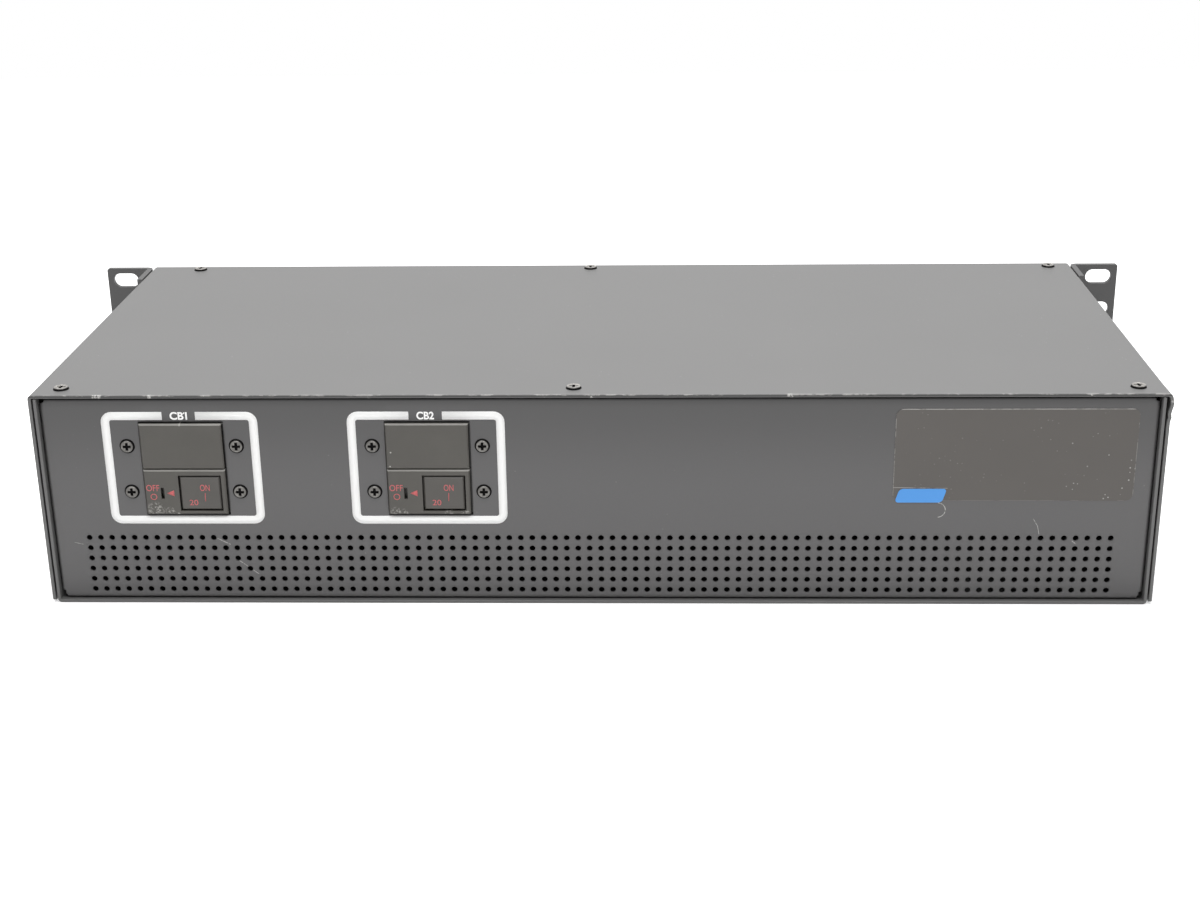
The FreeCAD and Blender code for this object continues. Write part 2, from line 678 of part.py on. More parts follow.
def bank_cores(bank_x):
    """Moulded insert of a bank: one floor with a chamfered core standing in each well."""
    half_x, half_z = bank_half_size()
    face = REAR_FACE + BANK_LIP_SHEET
    floor = face - OUTLET_WELL_DEPTH
    top = face - OUTLET_CORE_INSET
    back = floor - BANK_FLOOR
    base = box(bank_x - half_x, bank_x + half_x, back, floor, MID_HEIGHT - half_z, MID_HEIGHT + half_z)
    wide = OUTLET_CORE_WIDTH / 2
    tall = OUTLET_CORE_HEIGHT / 2
    notch = OUTLET_CORE_CHAMFER
    core = [
        (-wide, -tall, 0), (wide, -tall, 0), (wide, tall - notch, 0), (wide - notch, tall, 0),
        (notch - wide, tall, 0), (-wide, tall - notch, 0),
    ]
    cores = []
    slots = []
    half_pin = OUTLET_PIN_WIDTH / 2
    long_pin = OUTLET_PIN_HEIGHT / 2
    for x, z in outlet_places(bank_x):
        cores.append(extruded(moved(core, x, z), "xz", floor, top))
        for px, pz in pin_places(x, z):
            slots.append(box(px - half_pin, px + half_pin, back, top, pz - long_pin, pz + long_pin))
    return union([base] + cores).cut(slots)


def bank_contacts(bank_x):
    """Spring contact strips in the pin slots, standing on the bus bars behind the floor."""
    back = REAR_FACE + BANK_LIP_SHEET - OUTLET_WELL_DEPTH - BANK_FLOOR
    half = OUTLET_PIN_HEIGHT / 2 - CONTACT_SIDE_GAP
    strips = []
    for x, z in outlet_places(bank_x):
        for px, pz in pin_places(x, z):
            wall = px + OUTLET_PIN_WIDTH / 2
            tip = back + CONTACT_LENGTH
            strips.append(box(wall - CONTACT_SHEET, wall, back, tip, pz - half, pz + half))
    return strips


def bank_bus_bars(bank_x):
    """Flat bars behind the floor that join the contacts of each outlet row, live and earth."""
    half = bank_half_size()[0] - BANK_COVER_WALL - BANK_BORDER
    back = REAR_FACE + BANK_LIP_SHEET - OUTLET_WELL_DEPTH - BANK_FLOOR
    rows = sorted({z for x, z in outlet_places(bank_x)})
    levels = [z + shift for z in rows for shift in (0.0, OUTLET_PIN_DROP + BUS_BAR_HEIGHT / 2)]
    rise = BUS_BAR_HEIGHT / 2
    left = bank_x - half
    right = bank_x + half
    return [box(left, right, back - BUS_BAR_SHEET, back, z - rise, z + rise) for z in levels]


def bank_back(bank_x):
    """Insulating back cover over a bank's bus bars."""
    half_x, half_z = bank_half_size()
    mouth = REAR_FACE + BANK_LIP_SHEET - OUTLET_WELL_DEPTH - BANK_FLOOR
    end = mouth - BANK_COVER_DEPTH
    wall = BANK_COVER_WALL
    tub = box(bank_x - half_x, bank_x + half_x, end, mouth, MID_HEIGHT - half_z, MID_HEIGHT + half_z)
    room = box(
        bank_x - half_x + wall, bank_x + half_x - wall, end + wall, mouth,
        MID_HEIGHT - half_z + wall, MID_HEIGHT + half_z - wall)
    return tub.cut(room)


def gland_bar(radius, y0, y1):
    """Round bar about the gland's axis."""
    return bar(radius, (GLAND_X, y0, MID_HEIGHT), (0, 1, 0), y1 - y0, GLAND_SIDES)


def gland_hex(flats, y0, y1):
    """Hexagonal bar about the gland's axis."""
    return extruded(moved(hexagon(flats), GLAND_X, MID_HEIGHT), "xz", y0, y1)


def gland_body():
    """Threaded barrel through the rear panel, with its hexagon outside and a collar for the nut."""
    thread = gland_thread_radius()
    hex_end = REAR_FACE + GLAND_HEX_LENGTH
    inside_end = REAR_FACE - GLAND_THREAD_LENGTH
    mouth = hex_end + GLAND_COLLAR_LENGTH
    solid = union([gland_bar(thread, inside_end, mouth), gland_hex(GLAND_HEX_FLATS, REAR_FACE, hex_end)])
    return solid.cut(gland_bar(thread - GLAND_BODY_WALL, inside_end, mouth))


def gland_seal():
    """Rubber sleeve in the mouth of the gland body."""
    mouth = REAR_FACE + GLAND_HEX_LENGTH + GLAND_COLLAR_LENGTH
    start = mouth - GLAND_SEAL_LENGTH
    sleeve = gland_bar(GLAND_BORE + GLAND_SEAL_WALL - GLAND_FIT, start, mouth)
    return sleeve.cut(cylinder(GLAND_BORE, (GLAND_X, start, MID_HEIGHT), (0, 1, 0), GLAND_SEAL_LENGTH))


def gland_nut():
    """Dome nut over the collar: a hexagon, then a nose that tapers to a lip over the seal."""
    thread = gland_thread_radius() + GLAND_FIT
    start = REAR_FACE + GLAND_HEX_LENGTH + GLAND_FIT
    shoulder = REAR_FACE + GLAND_HEX_LENGTH + GLAND_COLLAR_LENGTH
    end = shoulder + GLAND_NUT_NOSE
    throat = GLAND_BORE + GLAND_SEAL_WALL / 2
    rings = [(GLAND_NUT_SHOULDER, shoulder), (throat + GLAND_NUT_LIP, end)]
    wires = [outline(moved(polygon(GLAND_SIDES, r), GLAND_X, MID_HEIGHT), "xz", y) for r, y in rings]
    nose = Part.makeLoft(wires, True, True)
    solid = union([gland_hex(GLAND_NUT_FLATS, start, shoulder), nose])
    return solid.cut([gland_bar(thread, start, shoulder), gland_bar(throat, shoulder, end)])


def gland_locknut():
    """Hexagonal nut that clamps the gland from inside the panel."""
    back = REAR_FACE - SHEET
    end = back - GLAND_LOCKNUT_LENGTH
    bore = gland_bar(gland_thread_radius() + THREAD_GAP, end, back)
    return gland_hex(GLAND_LOCKNUT_FLATS, end, back).cut(bore)


def block_place():
    """Centre (x, y) of the input terminal block on the tray floor."""
    return GLAND_X, REAR - BLOCK_FROM_REAR


def terminal_block():
    """Moulded base with fixing ears and barriers between the poles."""
    x, y = block_place()
    half = BLOCK_POLES * BLOCK_PITCH / 2 + BLOCK_BARRIER / 2
    deep = BLOCK_DEPTH / 2
    base_top = SHEET + BLOCK_BASE
    body_top = SHEET + BLOCK_HEIGHT - BLOCK_BARRIER_RISE
    solids = [
        box(x - half - BLOCK_EAR, x + half + BLOCK_EAR, y - deep / 2, y + deep / 2, SHEET, base_top),
        box(x - half, x + half, y - deep, y + deep, SHEET, body_top),
    ]
    for i in range(BLOCK_POLES + 1):
        middle = x - half + BLOCK_BARRIER / 2 + i * BLOCK_PITCH
        thick = BLOCK_BARRIER / 2
        solids.append(box(middle - thick, middle + thick, y - deep, y + deep, SHEET, SHEET + BLOCK_HEIGHT))
    clamp = CLAMP_SCREW_SHANK + THREAD_GAP
    clamp_low = body_top - CLAMP_SCREW_LENGTH
    drills = [bar(clamp, (sx, sy, clamp_low), (0, 0, 1), CLAMP_SCREW_LENGTH) for sx, sy in clamp_places()]
    fixing = FIXING_SCREW_SHANK + SCREW_HOLE_GAP
    drills += [bar(fixing, (fx, y, SHEET), (0, 0, 1), BLOCK_BASE) for fx in fixing_places()]
    return union(solids).cut(drills)


def clamp_places():
    """Points (x, y) of the clamp screws: one at each end of each pole."""
    x, y = block_place()
    first = x - (BLOCK_POLES - 1) * BLOCK_PITCH / 2
    ends = (y - CLAMP_SCREW_SPAN / 2, y + CLAMP_SCREW_SPAN / 2)
    return [(first + i * BLOCK_PITCH, end) for i in range(BLOCK_POLES) for end in ends]


def fixing_places():
    """Centre x of the two screws that hold the terminal block."""
    reach = BLOCK_POLES * BLOCK_PITCH / 2 + BLOCK_BARRIER / 2 + BLOCK_EAR / 2
    return [block_place()[0] - reach, block_place()[0] + reach]


def clamp_screws():
    """Terminal screws in the block."""
    top = SHEET + BLOCK_HEIGHT - BLOCK_BARRIER_RISE
    sizes = (CLAMP_SCREW_HEAD, CLAMP_SCREW_HEIGHT, CLAMP_SCREW_SHANK, CLAMP_SCREW_LENGTH)
    return [screw(*sizes, (x, y, top), (0, 0, 1)) for x, y in clamp_places()]


def fixing_screws():
    """Screws that hold the terminal block to the tray."""
    y = block_place()[1]
    sizes = (FIXING_SCREW_HEAD, FIXING_SCREW_HEIGHT, FIXING_SCREW_SHANK, BLOCK_BASE)
    return [screw(*sizes, (x, y, SHEET + BLOCK_BASE), (0, 0, 1)) for x in fixing_places()]


def earth_place():
    """Point (x, y) of the earth stud on the tray floor."""
    return HALF_WIDTH - EARTH_FROM_RIGHT, REAR - EARTH_FROM_REAR


def earth_stud():
    """Welded stud with its base flange."""
    x, y = earth_place()
    base = bar(EARTH_STUD_BASE, (x, y, SHEET), (0, 0, 1), EARTH_STUD_BASE_HEIGHT)
    return union([base, bar(EARTH_STUD_RADIUS, (x, y, SHEET), (0, 0, 1), EARTH_STUD_HEIGHT)])


def earth_nut():
    """Hexagonal nut on the earth stud."""
    x, y = earth_place()
    seat = SHEET + EARTH_STUD_BASE_HEIGHT
    nut = extruded(moved(hexagon(EARTH_NUT_FLATS), x, y), "xy", seat, seat + EARTH_NUT_HEIGHT)
    return nut.cut(bar(EARTH_STUD_RADIUS + THREAD_GAP, (x, y, seat), (0, 0, 1), EARTH_NUT_HEIGHT))


def build():
    """Write every node of the unit."""
    os.makedirs("parts", exist_ok=True)
    save("base_tray", base_tray())
    save("top_cover", top_cover())
    save("front_panel", front_panel())
    save("rear_panel", rear_panel())
    save("rack_ear_left", rack_ear(-1))
    save("rack_ear_right", rack_ear(1))
    screws, nuts = ear_fasteners()
    save("ear_screws", screws)
    save("ear_nuts", nuts)
    save("cover_screws", cover_screws())
    save("breaker_screws", breaker_screws())
    for number, x in enumerate(breaker_places(), start=1):
        name = "breaker_" + str(number)
        save(name + "_upper_pole", upper_pole(x))
        save(name + "_lower_pole", lower_pole(x))
        save(name + "_guard", guard_plate(x))
        save(name + "_rocker", rocker(x))
        save(name + "_pin", pivot_pin(x))
        save(name + "_terminals", breaker_terminals(x))
    for number, x in enumerate(bank_places(), start=1):
        name = "outlet_bank_" + str(number)
        save(name + "_frame", bank_frame(x))
        save(name + "_cores", bank_cores(x))
        save(name + "_contacts", bank_contacts(x))
        save(name + "_bus_bars", bank_bus_bars(x))
        save(name + "_back", bank_back(x))
    save("gland_body", gland_body())
    save("gland_seal", gland_seal())
    save("gland_nut", gland_nut())
    save("gland_locknut", gland_locknut())
    save("terminal_block", terminal_block())
    save("clamp_screws", clamp_screws())
    save("terminal_block_screws", fixing_screws())
    save("earth_stud", earth_stud())
    save("earth_nut", earth_nut())


build()
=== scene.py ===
"""Looks of a rack power distribution unit: painted sheet, breakers, printing, outlets and stage."""

import functools
import math

import bmesh
import bpy
import numpy as np
from bpy.props import FloatProperty, FloatVectorProperty, IntProperty, PointerProperty, StringProperty
from mathutils import Matrix, Vector


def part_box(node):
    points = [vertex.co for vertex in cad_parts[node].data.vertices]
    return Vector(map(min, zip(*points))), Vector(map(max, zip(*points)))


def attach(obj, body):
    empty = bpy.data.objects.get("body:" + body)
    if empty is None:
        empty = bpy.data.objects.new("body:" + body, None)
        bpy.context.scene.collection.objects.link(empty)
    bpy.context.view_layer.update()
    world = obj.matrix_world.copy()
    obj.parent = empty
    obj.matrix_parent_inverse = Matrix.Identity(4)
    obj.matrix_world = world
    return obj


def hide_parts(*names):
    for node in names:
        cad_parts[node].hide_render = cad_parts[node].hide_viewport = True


bl_info = {
    "name": "Rack Power Unit",
    "version": (1, 0, 0),
    "blender": (4, 5, 0),
    "location": "View3D > Sidebar > Power Unit",
    "description": "Dresses the frame of a two-unit rack power distribution unit",
    "category": "Mesh",
}

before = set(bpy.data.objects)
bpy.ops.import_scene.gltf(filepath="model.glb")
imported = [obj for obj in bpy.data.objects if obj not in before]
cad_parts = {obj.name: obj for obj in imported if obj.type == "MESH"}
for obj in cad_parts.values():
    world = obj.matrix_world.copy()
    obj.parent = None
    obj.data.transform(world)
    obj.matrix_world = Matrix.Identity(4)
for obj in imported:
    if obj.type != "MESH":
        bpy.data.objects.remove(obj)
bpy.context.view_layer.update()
PAIR = (1, 2)
WELD = 2e-6
VENT_SIDES = 12
FOLD_STEPS = 6
CHIP_LEVEL = 0.08
COVER_SCREW_RADIUS = 0.0031
COVER_SCREW_MIDDLE = -0.008
COVER_SCREW_REAR_LEFT = -0.195
COVER_SCREW_RECESS = 0.0007
EAR_SCREW_RECESS = 0.0012
EAR_SHEET = 0.0025
SIDE_STEPS = 60
TOP_STEPS = 48
FLAT_ANGLE = math.radians(0.5)

# Share of a mark's half width that has its full strength
MARK_CORE = 0.4
# Scratches of the front panel, across and up: start, end and half width
SCRATCHES = (
    ((0.1705, 0.0360), (0.1723, 0.0330), 0.00012),
    ((0.1723, 0.0330), (0.1731, 0.0295), 0.00012),
    ((0.1861, 0.0266), (0.1876, 0.0254), 0.00022),
    ((-0.1503, 0.0275), (-0.1454, 0.0249), 0.0002),
    ((-0.1422, 0.0178), (-0.1350, 0.0121), 0.00018),
    ((-0.2079, 0.0257), (-0.2044, 0.0249), 0.00014),
)
# Curled scratches of the front panel, right halves of rings: centre, radius and half width
CURLS = (((0.1332, 0.0397), 0.0030, 0.00022),)
# Chips along the front edge of the cover: middle and half length
EDGE_CHIPS = ((-0.192, 0.0017), (-0.1714, 0.0008), (0.07485, 0.0012))
# Painted shade of the front panel by height, darker under the cover's overhang and towards the bottom: where
# a change starts, where it is whole, and its level
PANEL_SHADE_TONES = ((0.047, 0.087, 0.68), (0.0125, 0.0035, 0.84))
# Painted highlight on the panel's lower fold and painted shade in its upper seam, measured from the lower
# fold and from the upper seam of the panel
FOLD_HIGHLIGHT = (0.0014, 0.0008, 1.5)
SEAM_SHADE = (-0.0011, -0.0003, 0.15)
# Scuffs of each guard: across from its left edge, or from its right edge if negative, up, and radius
GUARD_SCUFFS = {
    1: ((0.0036, 0.0016, 0.0044), (0.0094, 0.0010, 0.0026)),
    2: ((0.0028, 0.0008, 0.0028), (0.0062, 0.0006, 0.0022), (-0.0085, 0.0006, 0.0022),
        (-0.0022, 0.0006, 0.0022)),
}
# Middle of a moulded bevel from its edge, where a painted highlight runs, and the nicks of the first
# breaker's bevels
BEVEL_DROP = 0.0003
NICK_RADIUS = 0.0006
GUARD_NICK_LEFT = 0.0035
# Specks of the second blank pole: across from its left edge and down from its top
POLE_SPECKS = ((0.0019, 0.0118), (0.0014, 0.0176))
SPECK_RADIUS = 0.0004
# Painted highlight on the film along the sticker's upper edge: its rise at both ends, its run past the
# sticker and half its width
STICKER_HIGHLIGHT_RISES = (0.0005, 0.0002)
STICKER_HIGHLIGHT_RUN = 0.002
STICKER_HIGHLIGHT_WIDTH = 0.0002
# Half widths at which a lifted rim of the film fades out and is whole
RIM_FADE = (0.0004, 0.0001)
# Pale colour of scuffs, nicks and specks, and of the painted highlight along the moulded bevels
PALE_WEAR_AND_HIGHLIGHT = (0.5, 0.49, 0.46)
PALE_BUBBLE = (0.5, 0.49, 0.47)
# Pale colour of the film's lifted rims and of the painted highlight along the sticker
PALE_RIM_AND_HIGHLIGHT = (0.62, 0.61, 0.58)
# Near black of the painted shade in the screws' recesses and sloped rims
RECESS_SHADE = (0.008, 0.008, 0.008)


def length(name, description, default):
    """A size in metres that a user may change."""
    return FloatProperty(
        name=name, description=description, default=default, precision=5, unit="LENGTH", subtype="DISTANCE")


def place(name, description, default):
    """A point in metres that a user may move."""
    return FloatVectorProperty(
        name=name, description=description, default=default, precision=5, unit="LENGTH", subtype="XYZ")


def pair(name, description, default):
    """A place across and up, or a width and a height, in metres."""
    return FloatVectorProperty(
        name=name, description=description, default=default, size=2, precision=5, unit="LENGTH")


def share(name, description, default):
    """A plain number between nought and one."""
    return FloatProperty(
        name=name, description=description, default=default, min=0.0, max=1.0, subtype="FACTOR")


def tint(name, description, default):
    """A linear colour that a user may change."""
    return FloatVectorProperty(
        name=name, description=description, default=default, size=3, min=0.0, max=1.0, subtype="COLOR")


def turn(name, description, degrees):
    """An angle that a user may change."""
    return FloatProperty(name=name, description=description, default=math.radians(degrees), subtype="ANGLE")


def power(name, description, default):
    """A lamp's power in watts."""
    return FloatProperty(name=name, description=description, default=default, min=0.0, unit="POWER")


class PowerUnitChassis(bpy.types.PropertyGroup):
    """Sizes of the folded sheet pieces."""

    sheet: length("Sheet", "Thickness of the chassis sheet", 0.00125)
    bend: length("Bend", "Outer radius of the folds", 0.0017)
    cover_corner: length("Cover corner", "Radius of the cover's lower corners", 0.0012)
    relief: length("Corner relief", "Room left at the ends of a panel's flanges", 0.0019)
    relief_lap: length("Relief lap", "How far the rear panel's side flanges run over the relief", 0.0013)
    edge: length("Edge", "Rounding of the cut edges of a sheet", 0.00022)
    flare: length("Flare", "How far the bent right front corner stands out", 0.0009)
    flare_drop: length("Flare drop", "Height of the flare's middle below the top", 0.0042)
    flare_spread: length("Flare spread", "Half height of the flare", 0.003)
    knock: length("Knock", "How far the small knock under the flare stands out", 0.0004)
    knock_drop: length("Knock drop", "Height of the knock's middle below the top", 0.0098)
    knock_spread: length("Knock spread", "Half height of the knock", 0.001)
    flare_room: length("Flare room", "Room kept in front of the bent corner", 0.00003)
    flare_reach: length("Flare reach", "How far the flare runs back from the front", 0.009)


class PowerUnitVents(bpy.types.PropertyGroup):
    """The vent field under the breakers."""

    columns: IntProperty(name="Columns", description="Vents in a row", default=90, min=1)
    rows: IntProperty(name="Rows", description="Rows of vents", default=6, min=1)
    pitch_x: length("Column pitch", "Distance between columns", 0.004525)
    pitch_z: length("Row pitch", "Distance between rows", 0.004475)
    first_row: length("First row", "Height of the lowest row", 0.0054)
    shift: length("Shift", "Middle of the field right of the unit's middle", -0.0003)
    width: length("Width", "Diameter of one vent", 0.0023)


class PowerUnitBreakers(bpy.types.PropertyGroup):
    """Breaker plates, screws and their red marks."""

    gap_left: length("Left gap", "Gap left of the breaker faces", 0.0002)
    gap_right: length("Right gap", "Gap right of the breaker faces", 0.0007)
    gap_low: length("Lower gap", "Gap under the breaker faces", 0.00055)
    gap_high: length("Upper gap", "Gap over the breaker faces", 0.00075)
    edge: length("Edge", "Rounding of the moulded edges", 0.00018)
    screw_span: length("Screw span", "Distance between the two screws of a pole", 0.0429)
    screw_radius: length("Screw radius", "Radius of a breaker screw's head", 0.003)
    screw_recess: length("Screw recess", "Depth of the cross recess", 0.0007)
    ink: length("Ink", "Thickness of printed marks", 0.00004)


class PowerUnitMarks(bpy.types.PropertyGroup):
    """Red marks: off marks from the guard's lower left corner, on marks from the rocker's lower right one."""

    ring: pair("Ring", "Middle of the off ring", (0.0034, 0.0075))
    ring_radius: length("Ring radius", "Outer radius of the off ring", 0.0013)
    ring_line: length("Ring line", "Width of the off ring's line", 0.0003)
    pointer: pair("Pointer", "Tip of the pointer", (0.0088, 0.0090))
    pointer_size: pair("Pointer size", "Length and half height of the pointer", (0.0028, 0.0013))
    off: pair("Off word", "Middle of the off word", (0.0033, 0.0112))
    off_size: pair("Off size", "Width and height of the off word", (0.0052, 0.0026))
    on: pair("On word", "Middle of the on word", (-0.0061, 0.0092))
    on_size: pair("On size", "Width and height of the on word", (0.0038, 0.0026))
    rating: pair("Rating", "Middle of the rating", (-0.0109, 0.0030))
    rating_size: pair("Rating size", "Width and height of the rating", (0.0034, 0.0023))
    stroke: pair("On stroke", "Lower left corner of the on stroke", (-0.0064, 0.0036))
    stroke_size: pair("Stroke size", "Width and height of the on stroke", (0.00028, 0.0034))
    stroke_lean: length("Stroke lean", "How far the on stroke's upper end leans right", 0.00012)


class PowerUnitPrint(bpy.types.PropertyGroup):
    """White frames and numbers printed on the front panel."""

    line: length("Line", "Width of the frame line", 0.0033)
    half_width: length("Half width", "Half the frame's outer width", 0.0306)
    low: length("Low", "Lower outer edge of the frame", 0.0339)
    high: length("High", "Upper outer edge of the frame", 0.08075)
    shift: length("Shift", "Frame centre right of the breaker's centre", -0.0002)
    outer_radius: length("Outer radius", "Outer corner radius", 0.0043)
    inner_radius: length("Inner radius", "Inner corner radius", 0.001)
    gap: length("Gap", "Opening in the top line for the number", 0.013)
    mark_width: length("Mark width", "Width of the number in the gap", 0.0068)
    mark_height: length("Mark height", "Height of the number in the gap", 0.0032)
    stroke: length("Stroke", "Width of the figure one", 0.0009)
    flag: length("Flag", "Reach of the figure one's upstroke", 0.0007)
    mark: StringProperty(name="Mark", description="Letters before the breaker's number", default="CB")


class PowerUnitLabels(bpy.types.PropertyGroup):
    """Bare film label and small blank sticker."""

    film_left: length("Film left", "Left edge of the film", 0.1155)
    film_right: length("Film right", "Right edge of the film", 0.208)
    film_low: length("Film low", "Lower edge of the film", 0.0437)
    film_high: length("Film high", "Upper edge of the film", 0.0815)
    film_radius: length("Film radius", "Corner radius of the film", 0.003)
    film_sheet: length("Film thickness", "Thickness of the film", 0.00016)
    sticker_left: length("Sticker left", "Lower left corner of the sticker", 0.1163)
    sticker_right: length("Sticker right", "Lower right corner of the sticker", 0.1346)
    sticker_low: length("Sticker low", "Lower edge of the sticker", 0.0430)
    sticker_high: length("Sticker high", "Upper edge of the sticker", 0.0487)
    sticker_radius: length("Sticker radius", "Corner radius of the sticker", 0.0014)
    sticker_slant: length("Sticker slant", "How far the upper edge leans right", 0.0018)


class PowerUnitFinish(bpy.types.PropertyGroup):
    """Colours of the finishes."""

    paint: tint("Paint", "Powder coat of the cover and the tray", (0.122, 0.121, 0.120))
    panel: tint("Panel", "Powder coat of the front panel", (0.092, 0.090, 0.091))
    ear_paint: tint("Ear paint", "Coat of the rack ears", (0.062, 0.061, 0.061))
    bare_steel: tint("Bare steel", "Metal where paint is chipped", (0.55, 0.54, 0.52))
    breaker: tint("Breaker", "Moulded breaker faces", (0.074, 0.0695, 0.061))
    rocker: tint("Rocker", "Moulded rocker button", (0.074, 0.069, 0.062))
    screw: tint("Screw", "Blackened screws", (0.13, 0.125, 0.118))
    white_ink: tint("White ink", "Printed frames", (0.98, 0.98, 0.97))
    red_ink: tint("Red ink", "Printed breaker marks", (0.58, 0.125, 0.13))
    film: tint("Film", "Bare film label", (0.086, 0.078, 0.071))
    sticker: tint("Sticker", "Small blank sticker", (0.08, 0.33, 0.80))
    outlet: tint("Outlet", "Moulded outlet banks", (0.022, 0.022, 0.023))
    gland: tint("Gland", "Moulded cord gland", (0.035, 0.036, 0.038))
    rubber: tint("Rubber", "Gland seal", (0.018, 0.018, 0.018))
    zinc: tint("Zinc", "Plated small parts", (0.62, 0.63, 0.65))
    copper: tint("Tinned copper", "Terminals and contacts", (0.66, 0.63, 0.58))
    brass: tint("Brass", "Bus bars", (0.66, 0.47, 0.20))
    block: tint("Block", "Moulded terminal block", (0.30, 0.29, 0.27))


class PowerUnitStage(bpy.types.PropertyGroup):
    """Camera, lamps and floor."""

    camera: place("Camera", "Where the camera stands", (0.02677, -0.7592, 0.31643))
    pitch: turn("Pitch", "How far the camera looks down", 20.6975)
    yaw: turn("Yaw", "How far the camera looks right of straight ahead", -2.1264)
    roll: turn("Roll", "How far the camera is tilted", -0.8035)
    lens: FloatProperty(name="Lens", description="Focal length in millimetres", default=55.19, min=1.0)
    sensor: FloatProperty(name="Sensor", description="Sensor width in millimetres", default=36.0, min=1.0)
    top_lamp: power("Top lamp", "Soft lamp overhead", 24.0)
    top_size: pair("Top lamp size", "Width and length of the top lamp", (0.9, 0.9))
    top_stand: place("Top lamp stand", "Where the top lamp hangs", (0.0, 0.3, 1.45))
    strip_lamp: power("Strip lamp", "Wide strip over the front that lights the edges", 12.0)
    strip_size: pair("Strip lamp size", "Width and length of the strip lamp", (1.3, 0.2))
    strip_stand: place("Strip lamp stand", "Where the strip lamp hangs", (0.0, -0.62, 1.35))
    sky: share("Sky", "Level of the light from all round", 0.3)
    floor: tint("Floor", "Colour of the floor", (0.82, 0.82, 0.82))
    floor_lift: share("Floor lift", "Light that the camera alone sees from the floor", 0.5)
    floor_size: length("Floor size", "Half width of the floor", 1.2)


class Wire:
    """A shader socket that takes part in Python arithmetic: each operator adds a Math node."""

    def __init__(self, shader, socket):
        self.shader = shader
        self.socket = socket

    def maths(self, operation, first, second=0.0):
        return self.shader.node("ShaderNodeMath", {"operation": operation}, {0: first, 1: second})

    def __add__(self, other):
        return self.maths("ADD", self, other)

    def __sub__(self, other):
        return self.maths("SUBTRACT", self, other)

    def __rsub__(self, other):
        return self.maths("SUBTRACT", other, self)

    def __mul__(self, other):
        return self.maths("MULTIPLY", self, other)

    def __truediv__(self, other):
        return self.maths("DIVIDE", self, other)

    def __pow__(self, other):
        return self.maths("POWER", self, other)

    def __gt__(self, other):
        return self.maths("GREATER_THAN", self, other)

    def __lt__(self, other):
        return self.maths("LESS_THAN", self, other)

    def __abs__(self):
        return self.maths("ABSOLUTE", self)

    def most(self, other):
        return self.maths("MAXIMUM", self, other)

    def least(self, other):
        return self.maths("MINIMUM", self, other)

    __radd__ = __add__
    __rmul__ = __mul__


class Shader:
    """Nodes of one material or world, added by one method and joined through wires."""

    def __init__(self, owner):
        owner.use_nodes = True
        self.owner = owner
        self.tree = owner.node_tree

    def node(self, kind, settings=None, values=None, output=0):
        """Add a node: its settings first, then the values or links of its sockets."""
        made = self.tree.nodes.new(kind)
        for key, value in (settings or {}).items():
            setattr(made, key, value)
        for key, value in (values or {}).items():
            self.feed(made.inputs[key], value)
        return Wire(self, made.outputs[output])

    def feed(self, socket, value):
        """Link a wire to a socket, or set a constant on it."""
        if isinstance(value, Wire):
            self.tree.links.new(value.socket, socket)
        elif isinstance(socket.default_value, float):
            socket.default_value = value
        else:
            socket.default_value = (*value, 1.0)[:len(socket.default_value)]

    def surface(self, values):
        """Feed the sockets of the material's own Principled shader."""
        principled = self.tree.nodes["Principled BSDF"]
        for key, value in values.items():
            self.feed(principled.inputs[key], value)
        return self.owner

    def object_place(self):
        return self.node("ShaderNodeTexCoord", output="Object")

    def axes(self, vector):
        return [self.node("ShaderNodeSeparateXYZ", values={0: vector}, output=axis) for axis in "XYZ"]

    def noise(self, vector, scale, detail=2.0, roughness=0.5):
        values = {"Vector": vector, "Scale": scale, "Detail": detail, "Roughness": roughness}
        return self.node("ShaderNodeTexNoise", values=values)

    def specks(self, vector, scale, size):
        """Small round dots, one in each cell of a Voronoi pattern, as a mask."""
        distance = self.node("ShaderNodeTexVoronoi", values={"Vector": vector, "Scale": scale})
        return self.ramp(distance, size, size * 0.5)

    def ramp(self, value, low, high):
        """Smooth step from nought at low to one at high."""
        settings = {"interpolation_type": "SMOOTHSTEP"}
        return self.node("ShaderNodeMapRange", settings, {"Value": value, "From Min": low, "From Max": high})

    def stretched(self, vector, scale):
        return self.node("ShaderNodeMapping", values={"Vector": vector, "Scale": scale})

    def mix(self, factor, first, second):
        """Colour between first and second."""
        return self.node("ShaderNodeMix", {"data_type": "RGBA"}, {0: factor, 6: first, 7: second}, output=2)

    def bump(self, height, strength, distance):
        values = {"Strength": strength, "Distance": distance, "Height": height}
        return self.node("ShaderNodeBump", values=values)


def shade(colour, level):
    """A colour made lighter or darker by a factor, kept within one."""
    return tuple(min(1.0, part * level) for part in colour)


def new_shader(name):
    return Shader(bpy.data.materials.new(name))


def line_mask(shader, across, up, start, end, width):
    """Mask of a straight scratch: distance from a segment in the plane of the front."""
    run = (end[0] - start[0], end[1] - start[1])
    span = run[0] ** 2 + run[1] ** 2
    dx = across - start[0]
    dz = up - start[1]
    along = ((dx * run[0] + dz * run[1]) / span).most(0.0).least(1.0)
    away = ((dx - along * run[0]) ** 2 + (dz - along * run[1]) ** 2) ** 0.5
    return shader.ramp(away, width, width * MARK_CORE)


def arc_mask(shader, across, up, centre, radius, width):
    """Mask of a curled scratch: the right half of a ring in the plane of the front."""
    dx = across - centre[0]
    dz = up - centre[1]
    away = abs((dx ** 2 + dz ** 2) ** 0.5 - radius)
    return shader.ramp(away, width, width * MARK_CORE) * (dx > 0.0)


def spot_mask(shader, across, up, centre, radius):
    """Mask of a soft round patch in the plane of the front."""
    away = ((across - centre[0]) ** 2 + (up - centre[1]) ** 2) ** 0.5
    return shader.ramp(away, radius, radius * MARK_CORE)


def strongest(masks):
    """The highest of several masks, or nought where there is none."""
    return functools.reduce(Wire.most, masks) if masks else 0.0


